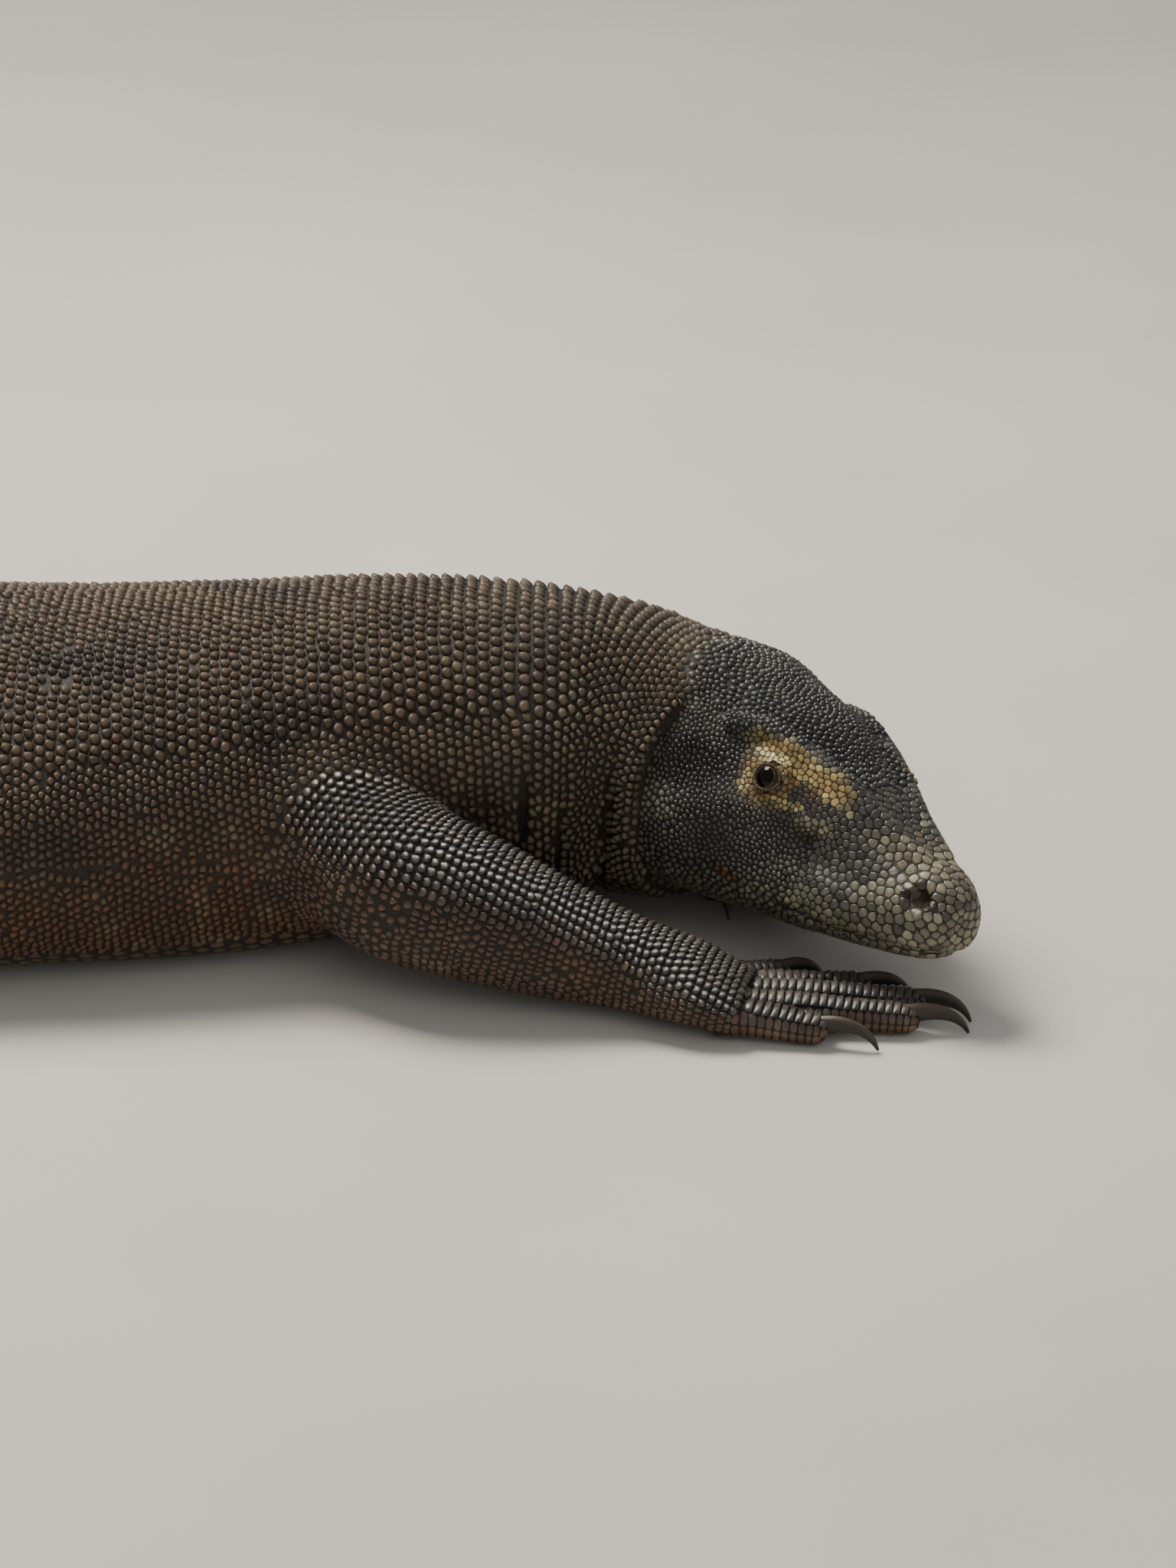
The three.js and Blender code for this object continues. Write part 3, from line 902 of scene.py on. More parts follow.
FINE_RINGS = ((1.0, -0.3), (0.86, 0.52), (0.5, 0.92))
PLAIN_RINGS = ((1.0, -0.3), (0.72, 0.72))
FORMS = {
    Style.DOME: ScaleForm(8, FINE_RINGS, 0.78, 0.7, lean=0.30, lift=0.45, square=2.3, swell=1.2),
    Style.SHINGLE: ScaleForm(8, FINE_RINGS, 0.52, 0.35, lean=0.50, lift=0.75, square=2.6, swell=1.2),
    Style.OVAL: ScaleForm(7, PLAIN_RINGS, 0.58, 0.55, lean=0.30, lift=0.45, swell=1.35),
    Style.GRANULE: ScaleForm(7, PLAIN_RINGS, 0.46, 0.4, swell=1.5),
    Style.PLATE: ScaleForm(8, ((1.0, -0.3), (0.93, 0.62), (0.66, 0.95)), 0.13, 0.28, square=3.0, swell=1.5),
    Style.BEAD: ScaleForm(7, ((1.0, -0.3), (0.78, 0.7)), 0.6, 0.35, swell=1.3),
    Style.BAND: ScaleForm(12, ((1.0, -0.3), (0.9, 0.6), (0.55, 0.95)), 0.17, 0.35,
                          lean=0.4, lift=0.7, square=4.0),
    Style.BELLY: ScaleForm(6, PLAIN_RINGS, 0.10, 0.9, square=4.0),
}


@dataclass
class Bed:
    """Scales waiting to be cut: one row each.

    Attributes:
        place: root places on the skin.
        toward: the way the free end points.
        half: half length along that way and half width across it.
        style: the index of the kind of scale.
        chart: place on the unwrapped stretch, from 0 to 1 both ways.
        piece: the coat piece that the scale belongs to.
    """

    place: Array = field(default_factory=lambda: np.zeros((0, 3)))
    toward: Array = field(default_factory=lambda: np.zeros((0, 3)))
    half: Array = field(default_factory=lambda: np.zeros((0, 2)))
    style: Array = field(default_factory=lambda: np.zeros(0, int))
    chart: Array = field(default_factory=lambda: np.zeros((0, 2)))
    piece: Array = field(default_factory=lambda: np.zeros(0, int))

    def pick(self, keep: Array) -> "Bed":
        """The rows that a mask or an index keeps."""
        return Bed(*(value[keep] for value in vars(self).values()))

    @staticmethod
    def join(beds: Iterable["Bed"]) -> "Bed":
        """All the rows of several beds."""
        columns = zip(*(vars(bed).values() for bed in beds))
        return Bed(*(np.concatenate(column) for column in columns))

    def __len__(self) -> int:
        """The number of scales."""
        return len(self.place)


class CoatPiece(NamedTuple):
    """One mesh of the coat."""

    name: str
    slot: str = "hide"
    polished: bool = False


PIECES = (
    CoatPiece("scales_head", "head_hide", True),
    *(CoatPiece(f"scales_{part}") for part in ("neck", "shoulders", "flank", "hips", "tail_base", "tail")),
    *(CoatPiece(f"scales_arm_{side}", "limb_hide", True) for side in ("right", "left")),
    *(CoatPiece(f"scales_leg_{side}", "limb_hide") for side in ("right", "left")),
)
# Plan x of both ends of each trunk piece, from the neck to the tail.
TRUNK_PIECE_ENDS = np.array((420.0, 270.0, 60.0, -260.0, -560.0, -900.0, -1905.0))


LIMB_WORDS = {"fore": "arm", "hind": "leg"}


def limb_piece(name: str) -> int:
    """The number of the piece for a leg or for one of its digits."""
    kind, side = name.split("_")[:2]
    return [piece.name for piece in PIECES].index(f"scales_{LIMB_WORDS[kind]}_{side}")


def around(angle: Array) -> Array:
    """Place across a chart, from 0 to 1, of an angle measured from the top."""
    return (angle / math.pi + 1) / 2


def spaced(run: Array, angles: Array, count: int, ring: int) -> Array:
    """Angles that share a ring's run out evenly, half a step on in every other ring."""
    stops = (np.arange(count) + (0.5 if ring % 2 else 0.0)) * run[-1] / count
    return np.interp(stops, run, angles)


class Strip(NamedTuple):
    """The scales of one strip of the trunk, on both sides.

    Attributes:
        angles: from where to where it goes, measured from the top.
        sizes: rows of plan x, spacing along and spacing round.
        front: the kind of scale at its front. Behind that they are ovals.
        front_from: plan x where the kinds meet.
    """

    angles: tuple[float, float]
    sizes: tuple[tuple[float, float, float], ...]
    front: Style
    front_from: float


BACK_STRIP = Strip(
    (0.0, 1.06),
    ((-1905, 4.6, 4.0), (-1500, 6.0, 5.2), (-1000, 6.1, 5.6), (-600, 5.9, 5.8), (0, 5.9, 6.3),
     (200, 6.2, 6.7), (300, 6.5, 7.0), (350, 5.8, 6.2), (400, 4.6, 4.8)),
    Style.DOME, -120.0)
FLANK_STRIP = Strip(
    (1.06, 2.15),
    ((-1905, 4.6, 4.0), (-1500, 6.0, 5.2), (-1000, 5.7, 5.2), (-600, 4.8, 5.0), (0, 4.3, 4.9),
     (200, 4.5, 5.1), (300, 5.2, 5.7), (350, 5.0, 5.4), (400, 4.6, 4.8)),
    Style.DOME, 290.0)
BELLY_STRIP = Strip(
    (2.15, math.pi),
    ((-1905, 4.6, 4.0), (-1500, 6.4, 5.4), (-1000, 7.4, 7.0), (-700, 8.5, 10.0), (300, 8.5, 10.5),
     (400, 6.0, 6.0)),
    Style.BELLY, -760.0)


class ScalePlan:
    """Lays out every scale: rings round the trunk and legs, bands on the digits, a mosaic on the head."""

    FORE_SIZES = (5.7, 3.9, 4.4)  # spacing round the top and the rest of a leg, and along it
    HIND_SIZES = (6.2, 4.8, 5.1)
    DIGIT_LENGTH = 4.4
    DIGIT_SIDES = ((1.18, 6.4), (1.88, 5.6), (2.6, 5.4))  # angle from the top and width of each row
    LIP_ROWS = ((3.6, -132, 2, 5.6), (9.0, -128, 0, 5.8), (-3.6, -132, -4, 5.6))  # rise, back, front, gap
    LID_OPENING = (7.8, 6.3)  # half sizes of the bare places
    NOSTRIL_OPENING = (5.8, 5.1)

    def __init__(self, hide: Hide, mesh: SkinMesh, seed: int = 11) -> None:
        """Keeps the form and the skin that the scales lie on."""
        self.hide, self.mesh = hide, mesh
        self.rng = np.random.default_rng(seed)

    def lay(self) -> Bed:
        """Lays out all the scales.

        Returns:
            The thinned bed of the whole animal.
        """
        beds = [self.head_mosaic()]
        beds += [self.trunk_strip(strip) for strip in (BACK_STRIP, FLANK_STRIP, BELLY_STRIP)]
        for name, leg in self.hide.legs.items():
            beds.append(self.leg_rings(name, leg))
        for name, digit in self.hide.digits.items():
            beds.append(self.digit_bands(name, digit))
        bed = Bed.join(beds)
        seated = np.abs(self.hide.sample(bed.place) + COAT_DEPTH) < 0.3
        log.info("laid %d scales, %d badly seated", len(bed), (~seated).sum())
        return self.thin(bed.pick(seated))

    def own(self, name: str, bed: Bed, clearance: float = 0.5) -> Bed:
        """Keeps the scales of a loft that no other loft covers, and settles them on the skin."""
        bed = bed.pick(self.hide.owner_distance(name, bed.place) > clearance)
        bed.place = self.hide.settle(bed.place)
        return bed.pick(bed.place[:, 2] > 0.2)

    def trunk_strip(self, strip: Strip) -> Bed:
        """Rings of scales on one strip of the trunk.

        Args:
            strip: its angles, sizes and kinds of scale.

        Returns:
            The strip's scales.
        """
        trunk = self.hide.trunk
        shares, along = trunk.lengths(1500)
        centres = trunk.centre(shares)[:, 0]
        sizes = np.array(strip.sizes, float)
        angles = np.linspace(*strip.angles, 90)
        rows = []
        reach, ring = 1.0, 0
        while reach < along[-1] - 1:
            share = float(np.interp(reach, along, shares))
            x = float(np.interp(share, shares, centres))
            length, width = (float(np.interp(x, sizes[:, 0], sizes[:, i])) for i in (1, 2))
            run = run_along(trunk.surface(np.full(len(angles), share), angles))
            count = max(int(round(run[-1] / width)), 1)
            found = spaced(run, angles, count, ring)
            for turn in (found, -found[found > 1e-6]):
                rows.append(rows_of(share, turn, x, length, run[-1] / count))
            reach += length
            ring += 1
        share, angle, x, length, width = np.concatenate(rows).T
        jitter = self.rng.normal(0, 1, (len(share), 2)) * [[0.00028, 0.007]]
        share, angle = np.clip(share + jitter[:, 0], 0, 1), angle + jitter[:, 1]
        piece = (x[:, None] < TRUNK_PIECE_ENDS[1:-1]).sum(1) + 1
        start, stop = TRUNK_PIECE_ENDS[piece - 1], TRUNK_PIECE_ENDS[piece]
        return self.own("trunk", Bed(
            trunk.surface(share, angle),
            -trunk.axes(share)[0],
            rows_of(length, width) / 2,
            np.where(x < strip.front_from, Style.OVAL.code, strip.front.code),
            rows_of((start - x) / (start - stop), around(angle)),
            piece,
        ))

    def leg_rings(self, name: str, leg: Loft) -> Bed:
        """Rings of scales on a leg: large ones along its outer top, granules round the rest."""
        front, right = name.startswith("fore"), name.endswith("right")
        top_width, side_width, length = self.FORE_SIZES if front else self.HIND_SIZES

        def on_top(turn: Array) -> Array:
            """Marks angles along the outer top."""
            return np.abs(turn + (0.25 if right else -0.25)) < 0.95

        shares, along = leg.lengths(400)
        angles = np.linspace(-math.pi, math.pi, 181)
        widths = np.where(on_top((angles[1:] + angles[:-1]) / 2), top_width, side_width)
        rows = []
        reach, ring = 2.0, 0
        while reach < along[-1] - 1:
            share = float(np.interp(reach, along, shares))
            run = run_along(leg.surface(np.full(len(angles), share), angles), widths)
            rows.append(rows_of(share, spaced(run, angles, int(run[-1]), ring)))
            reach += length
            ring += 1
        share, angle = np.concatenate(rows).T
        top = on_top(angle)
        share = np.clip(share + self.rng.normal(0, 1, len(share)) * np.where(top, 0.0005, 0.0018), 0, 1)
        angle = angle + self.rng.normal(0, 1, len(share)) * np.where(top, 0.01, 0.03)
        return self.own(name, Bed(
            leg.surface(share, angle),
            leg.axes(share)[0],
            np.where(top[:, None], (length * 1.1, top_width), (length * 0.92, side_width)) / 2,
            np.where(top, (Style.SHINGLE if front else Style.OVAL).code, Style.GRANULE.code),
            rows_of(share * 0.66, around(angle)),
            np.full(len(share), limb_piece(name)),
        ))

    def digit_bands(self, name: str, digit: Loft) -> Bed:
        """Plates across the top of a digit, with smaller scales down its sides."""
        shares, along = digit.lengths(200)
        share = np.interp(np.arange(2.0, along[-1] - 2, self.DIGIT_LENGTH), along, shares)
        rows = [rows_of(share, 0.0, 14.5, Style.BAND.code)]
        for turn, width in self.DIGIT_SIDES:
            for side in (1, -1):
                rows.append(rows_of(share + 0.5 / len(share), turn * side, width, Style.PLATE.code))
        share, angle, width, style = np.concatenate(rows).T
        share = np.clip(share, 0, 0.995)
        number = int(name[-1]) - 1
        return self.own(name, Bed(
            digit.surface(share, angle),
            digit.axes(share)[0],
            rows_of(self.DIGIT_LENGTH * 1.1, width) / 2,
            style.astype(int),
            rows_of(0.7 + share * 0.28, (number + 0.1 + 0.8 * around(angle)) / 5),
            np.full(len(share), limb_piece(name)),
        ), 0.2)

    def head_size(self, local: Array) -> Array:
        """Width of the head's scales at places in its own frame."""
        x, z = local[:, 0], local[:, 2]
        side = np.abs(local[:, 1])
        size = 2.7 + 2.6 * ramp(x, -100, -50)
        size = size - 0.5 * ramp(x, -22, 0)
        size = size + 0.7 * np.exp(-(((x + 100) / 32) ** 2) - ((z - 46) / 12) ** 2)
        crown = ramp(z, 46, 60) * (1 - ramp(side, 36, 46))
        size = size + (3.6 - size) * crown * (1 - ramp(x, -96, -60))
        jaw = 1 - ramp(z, -24, -14)
        size = size + (3.9 - size) * jaw * (1 - ramp(x, -60, -30))
        muscle = np.exp(-(((x + 172) / 18) ** 2) - ((z - 4) / 14) ** 2)
        size = size + 0.9 * muscle
        rear = ramp(-x, 176, 205)
        return size + (5.2 - size) * rear

    def lip_rows(self) -> Array:
        """Places of the upper and lower lip scales, in the head's frame."""
        rows = []
        for side in (1, -1):
            for rise, back, front, gap in self.LIP_ROWS:
                x = np.arange(front, back, -gap)
                rows.append(rows_of(x, 70.0 * side, mouth_line(x) + rise))
        return np.concatenate(rows)

    def head_mosaic(self) -> Bed:
        """A mosaic of scales over the head, graded from the large ones of the snout.

        Returns:
            The head's scales.
        """
        head = self.hide.head
        points = self.hide.scatter(self.mesh, "head", 90000, self.rng)
        local = head.to_local(points)
        open_skin = self.open_places(local)
        points, local = points[~open_skin], local[~open_skin]
        size = self.head_size(local)
        tree = search_tree(points)
        alive = np.ones(len(points), bool)
        kept: list[int] = []
        starts = [tree.find(head.to_plan(row[None])[0])[1] for row in self.snap_rows(local, self.lip_rows())]
        order = starts + list(range(len(points)))
        for i in order:
            if not alive[i]:
                continue
            kept.append(i)
            alive[[found[1] for found in tree.find_range(points[i], size[i] * 0.80)]] = False
        seeds = points[kept]
        for _ in range(3):
            seeds = self.relax(seeds, points)
        local = head.to_local(seeds)
        size = self.head_size(local)
        x, side, z = mirrored(local).T
        style = np.full(len(seeds), Style.GRANULE.code)
        style[x > -86] = Style.PLATE.code
        style[(z > 34) & (x < -78)] = Style.BEAD.code
        style[(x < -150) & (z > -14) & (z < 26)] = Style.BEAD.code
        style[(side > 26) & (x > -138) & (x < -68) & (z > 18) & (z < 58)] = Style.PLATE.code
        return Bed(
            seeds,
            np.tile(-head.turn[:, 0], (len(seeds), 1)),
            rows_of(size * 0.62, size * 0.62),
            style,
            rows_of(np.clip(-x / 262 + 0.02, 0.01, 0.99), around(np.arctan2(local[:, 1], z))),
            np.zeros(len(seeds), int),
        )

    def snap_rows(self, cloud: Array, rows: Array) -> Array:
        """Moves row places sideways onto the nearest skin of their own side."""
        snapped = []
        for row in rows:
            gap = np.hypot(cloud[:, 0] - row[0], cloud[:, 2] - row[2]) + 50 * (cloud[:, 1] * row[1] < 0)
            gap = gap + 0.03 * np.abs(cloud[:, 1] - row[1])
            snapped.append(cloud[int(gap.argmin())])
        return np.array(snapped)

    def open_places(self, local: Array) -> Array:
        """Marks places in the eye openings and nostrils, where no scale grows."""
        q = mirrored(local)
        forms = self.hide.forms
        along, out, across = ((q - np.array(EYE_AT)) @ forms.eye_axes()).T
        long, tall = self.LID_OPENING
        lids = (out > 0) & (np.hypot(along / long, across / tall) < 1)
        x, y, z = (q - np.array(forms.nostril)).T
        long, tall = self.NOSTRIL_OPENING
        return lids | (np.hypot(x / long, z / tall) < 1) & (np.abs(y) < 15)

    def relax(self, seeds: Array, cloud: Array) -> Array:
        """Moves each seed to the middle of the points nearest to it."""
        tree = search_tree(seeds)
        owner = np.array([tree.find(point)[1] for point in cloud])
        count = np.bincount(owner, minlength=len(seeds)).astype(float)
        total = rows_of(*(np.bincount(owner, weights=axis, minlength=len(seeds)) for axis in cloud.T))
        moved = np.where(count[:, None] > 0, total / np.maximum(count, 1)[:, None], seeds)
        return self.hide.settle(moved, 2)

    def thin(self, bed: Bed) -> Bed:
        """Drops scales that crowd an earlier one."""
        tree = search_tree(bed.place)
        room = bed.half.min(axis=1)
        alive = np.ones(len(bed), bool)
        for i in range(len(bed)):
            if not alive[i]:
                continue
            for _, j, distance in tree.find_range(bed.place[i], room[i] * 1.5):
                if j > i and alive[j] and distance < 0.62 * (room[i] + room[j]):
                    alive[j] = False
        return bed.pick(alive)


# ---------------------------------------------------------------------------------------- scale cuts
class Cut(NamedTuple):
    """Solid scales: points, faces, and for each point its height, its scale and its chart place."""

    points: Array
    fans: Array
    quads: Array
    crest: Array
    owner: Array
    chart: Array


class ScaleCutter:
    """Cuts a bed into solid scales: each fills the room its neighbours leave it."""

    NEIGHBOURS = 12
    CHART_SPREAD = 0.0015  # how far a scale reaches on its chart

    def __init__(self, hide: Hide, bed: Bed, seed: int = 23) -> None:
        """Reads the lie of the skin under every scale."""
        self.hide, self.bed = hide, bed
        self.rng = np.random.default_rng(seed)
        forms = [FORMS[style] for style in Style]
        self.square = np.array([form.square for form in forms])[bed.style]
        self.normal = hide.slope(bed.place)
        along = bed.toward - self.normal * np.sum(bed.toward * self.normal, axis=1, keepdims=True)
        self.along = unit(along)
        self.across = np.cross(self.normal, self.along)
        self.near, self.gap = self.neighbours()

    def neighbours(self) -> tuple[Array, Array]:
        """Each scale's nearest others, and where they lie."""
        place = self.bed.place
        tree = search_tree(place)
        near = np.array([[found[1] for found in tree.find_n(point, self.NEIGHBOURS + 1)] for point in place])
        near = np.where(near == np.arange(len(place))[:, None], near[:, :1], near)[:, 1:]
        return near, place[near] - place[:, None]

    def reach(self, rows: Array, along: Array, across: Array) -> Array:
        """How far a scale's own outline goes in a direction given by its two parts."""
        half, square = self.bed.half[rows], self.square[rows]
        part = np.abs(along / half[..., 0]) ** square + np.abs(across / half[..., 1]) ** square
        return 1 / np.maximum(part, 1e-9) ** (1 / square)

    def radii(self, rows: Array, form: ScaleForm) -> Array:
        """The rim's distance from the root, for each scale and each corner."""
        cos, sin = form.spokes()
        own = self.reach(rows[:, None], cos[None, :], sin[None, :]) * form.swell
        gap, near = self.gap[rows], self.near[rows]
        span = np.linalg.norm(gap, axis=2)
        way = gap / np.maximum(span, 1e-6)[..., None]
        a = np.einsum("ijk,ik->ij", way, self.along[rows])
        b = np.einsum("ijk,ik->ij", way, self.across[rows])
        mine = self.reach(rows[:, None], a, b)
        theirs_a = np.einsum("ijk,ijk->ij", way, self.along[near])
        theirs_b = np.einsum("ijk,ijk->ij", way, self.across[near])
        share = mine / (mine + self.reach(near, theirs_a, theirs_b))
        facing = a[..., None] * cos + b[..., None] * sin
        limit = np.where(facing > 0.08, (span * share)[..., None] / np.maximum(facing, 0.08), 1e3)
        limit = np.where(span[..., None] < 1e-6, 1e3, limit)
        free = np.minimum(limit.min(axis=1), own * self.rng.uniform(0.9, 1.1, own.shape))
        return np.maximum(free - form.groove / 2, 0.3 * free)

    def cut(self, rows: Array, form: ScaleForm, start: int) -> Cut:
        """Builds the scales of one kind.

        Args:
            rows: which scales of the bed.
            form: their shape.
            start: the number of their first point in the piece.

        Returns:
            The cut scales.
        """
        count, corners, rings = len(rows), form.directions, len(form.rings)
        cos, sin = form.spokes()
        radius = self.radii(rows, form)
        along, across, normal = self.along[rows], self.across[rows], self.normal[rows]
        half = self.bed.half[rows]
        height = form.height * half[:, 1] * self.rng.uniform(0.85, 1.12, count)
        lean = form.lean * half[:, 0]
        flat, rise, crest = [], [], []
        for share, level in form.rings:
            a = radius * cos * share + lean[:, None] * max(level, 0) * 0.6
            b = radius * sin * share
            tilt = 1 + form.lift * a / half[:, :1]
            flat.append(np.stack([a, b], axis=-1))
            rise.append(np.where(level < 0, level, height[:, None] * level * np.clip(tilt, 0.35, 1.9)))
            crest.append(np.full((count, corners), max(level, 0)))
        flat.append(np.stack([lean, 0 * lean], axis=-1)[:, None])
        rise.append((height * (1 + 0.5 * form.lift * form.lean))[:, None])
        crest.append(np.ones((count, 1)))
        flat, rise, crest = (np.concatenate(part, axis=1) for part in (flat, rise, crest))
        points = self.bed.place[rows][:, None] + flat[..., :1] * along[:, None]
        points = points + flat[..., 1:] * across[:, None]
        up = np.broadcast_to(normal[:, None], points.shape)
        sag = self.hide.sample(points.reshape(-1, 3)).reshape(rise.shape) + COAT_DEPTH
        points = points + up * (rise - np.clip(sag, -1.8, 1.8))[..., None]
        points[..., 2] = np.maximum(points[..., 2], 0.0)
        size = corners * rings + 1
        first = start + np.arange(count) * size
        ring = np.arange(corners)
        after = (ring + 1) % corners
        band = rows_of(ring, after, after + corners, ring + corners)
        bands = [band + k * corners for k in range(rings - 1)]
        last = (rings - 1) * corners
        fan = rows_of(ring + last, after + last, size - 1)
        fans, quads = ((first[:, None, None] + part).reshape(-1, part.shape[1])
                       for part in (fan, np.concatenate(bands)))
        shift = flat / half.max(axis=1)[:, None, None] * self.CHART_SPREAD
        chart = np.clip(self.bed.chart[rows][:, None] + shift, 0, 1)
        return Cut(points.reshape(-1, 3), fans, quads, crest.reshape(-1), np.repeat(rows, size),
                   chart.reshape(-1, 2))


# ----------------------------------------------------------------------------------------- markings
def paint(code: str) -> Array:
    """The linear colour of a six-digit screen colour."""
    screen = np.array([int(code[i:i + 2], 16) for i in (0, 2, 4)]) / 255
    return np.where(screen <= 0.04045, screen / 12.92, ((screen + 0.055) / 1.055) ** 2.4)


def rgba(code: str) -> tuple[float, ...]:
    """The same with full cover, as a socket takes it."""
    return (*paint(code), 1.0)


def mix(tone: Array, code: str, share: Array) -> Array:
    """Moves colours a share of the way towards a six-digit screen colour."""
    return tone + (paint(code) - tone) * share[:, None]


class Blot(NamedTuple):
    """A soft-edged patch of colour on the head: place and size in its frame, both sides alike."""

    colour: str
    place: tuple[float, float, float]
    size: tuple[float, float, float]
    strength: float = 1.0


HEAD_BLOTS = (
    Blot("7b7560", (-20, 14, 4), (48, 40, 40)),
    Blot("8f876b", (-36, 10, 22), (26, 14, 12), 0.6),
    Blot("34332f", (-44, 8, 26), (9, 6, 7), 0.7),
    Blot("3a3832", (-26, 26, -12), (9, 10, 6), 0.6),
    Blot("8d866a", (-12, 16, 14), (8, 8, 7), 0.6),
    Blot("3b3932", (-54, 30, 10), (17, 14, 10), 0.75),
    Blot("3a372f", (-70, 26, 27), (9, 8, 8), 0.7),
    Blot("6a6857", (-82, 44, -8), (30, 18, 9), 0.8),
    Blot("9c9574", (-87, 38, 19), (12, 12, 4.5), 0.7),
    Blot("2c2926", (-166, 60, 28), (26, 22, 17)),
    Blot("33322f", (-150, 0, 58), (70, 30, 16)),
    Blot("8f8156", (-134, 42, 51), (14, 13, 8), 0.85),
    Blot("c3a768", (-112, 40, 47), (20, 15, 10), 0.95),
    Blot("c6ab6c", (-86, 34, 41), (17, 14, 9), 0.95),
    Blot("a98c52", (-118, 48, 35), (18, 15, 14), 0.9),
    Blot("45301e", (-117, 52, 35), (12.5, 12, 9.5), 0.9),
    Blot("5b3c24", (-95, 41, 36), (9, 10, 6), 0.85),
    Blot("3d2c1e", (-86, 38, 30), (13, 10, 4.5), 0.85),
    Blot("d8c182", (-103, 46, 26), (9, 9, 3.6), 0.9),
    Blot("cdb377", (-131, 49, 29), (4.5, 9, 7), 0.85),
    Blot("e6d49a", (-123, 46, 46.5), (10, 9, 3.2), 0.9),
    Blot("d3bc7c", (-101, 38, 48), (12, 8, 4), 0.85),
    Blot("b7ab7c", (-74, 32, 32), (6, 9, 4), 0.7),
    Blot("2a2825", (-112, 25, 61), (44, 14, 5), 0.9),
    Blot("8b8977", (-187, 50, 54), (12, 12, 9), 0.55),
    Blot("7f7b68", (-172, 70, 2), (19, 16, 12), 0.6),
    Blot("8a5632", (-126, 54, -23), (9, 10, 3.2), 0.75),
    Blot("3a3631", (-179, 68, -20), (10, 12, 9), 0.9),
    # Painted shade inside the nostril.
    Blot("2a2012", (-17.5, 21, 6.5), (9.0, 12, 8.2)),
)


class Markings:
    """The colours of the animal, the same for the skin and for the scales that stand on it."""

    def __init__(self, hide: Hide) -> None:
        """Seeds the mottling."""
        self.hide = hide
        self.noise = Noise(5)
        self.fine = Noise(9)

    def body(self, points: Array) -> Array:
        """Colour of the trunk, neck and tail."""
        x, _, z = points.T
        tail = ramp(-x, 650, 1050)
        tone = mix(paint("603d24"), "5f4d3a", ramp(z, 40, 128))
        tone = mix(tone, "625645", ramp(x, 210, 320) * 0.8)
        tone = mix(tone, "574a39", tail * 0.85)
        tone = mix(tone, "6d6350", (1 - ramp(z, 10, 34)) * (1 - tail) * 0.7)
        patch, spots, dark = (self.noise.read(points + shift, scale)
                              for shift, scale in ((0, 46.0), (500, 17.0), (900, 30.0)))
        tone = tone * (0.78 + 0.44 * patch)[:, None]
        tone = mix(tone, "8c7a5c", ramp(spots, 0.62, 0.86) * 0.35)
        return mix(tone, "302a25", ramp(dark, 0.58, 0.85) * 0.6)

    def limb(self, points: Array, flat: Array) -> Array:
        """Colour of the legs, with a painted sky reflection as grey on the tops of the fore legs.

        Args:
            points: places on the skin.
            flat: how much each place faces upwards.

        Returns:
            The linear colours.
        """
        top = ramp(flat, 0.15, 0.62)
        # Upward-facing sides take the upper colour: the hind legs' own browner back, and towards the fore
        # legs a neutral grey that is a painted sky reflection.
        upper = mix(paint("574a3b"), "4f4943", ramp(points[:, 0], -200, 100))
        under = paint("563a26")
        tone = under + (upper - under) * top[:, None]
        tone = tone * (0.76 + 0.46 * self.noise.read(points, 24.0))[:, None]
        spots = ramp(self.fine.read(points + 300, 9.0), 0.6, 0.85)
        return mix(tone, "7c6a4e", spots * 0.4 * (1 - 0.5 * top))

    def head(self, local: Array) -> Array:
        """Colour of the head, from places in its own frame."""
        x, _, z = local.T
        jaw = 1 - ramp(z, -34, -24)
        lip = np.exp(-(((z + 25) / 8) ** 2)) * ramp(x, -128, -110)
        tone = mix(paint("4c4a41"), "7d775e", np.maximum(lip * 0.8, jaw * 0.45))
        q = mirrored(local)
        wobble = (self.fine.read(q + 80, 7.0) - 0.5) * 0.5
        for blot in HEAD_BLOTS:
            reach = np.linalg.norm((q - blot.place) / np.array(blot.size), axis=1) + wobble
            tone = mix(tone, blot.colour, (1 - ramp(reach, 0.7, 1.15)) * blot.strength)
        patch = self.noise.read(local + 40, 11.0)
        speck = ramp(self.fine.read(local + 400, 4.5), 0.60, 0.80)
        return tone * ((0.64 + 0.66 * patch) * (1 - 0.5 * speck))[:, None]

    def read(self, points: Array, normals: Array) -> Array:
        """The colour of the skin's markings.

        Args:
            points: places in the plan frame.
            normals: the way the skin faces there.

        Returns:
            Linear colours, one row each.
        """
        tone = self.body(points)
        limb_gap = np.full(len(points), BAND)
        gaps = {}
        for name, part in self.hide.parts.items():
            gap = part.reading(points)
            if name in ("trunk", "head"):
                gaps[name] = gap
            else:
                limb_gap = np.minimum(limb_gap, gap)
        limb = ramp(gaps["trunk"] - limb_gap, -16, 18)[:, None]
        tone = tone + (self.limb(points, normals[:, 2]) - tone) * limb
        head = ramp(np.minimum(gaps["trunk"], limb_gap) - gaps["head"], -1, 5)[:, None]
        near = head[:, 0] > 0
        tone[near] += (self.head(self.hide.head.to_local(points[near])) - tone[near]) * head[near]
        return tone


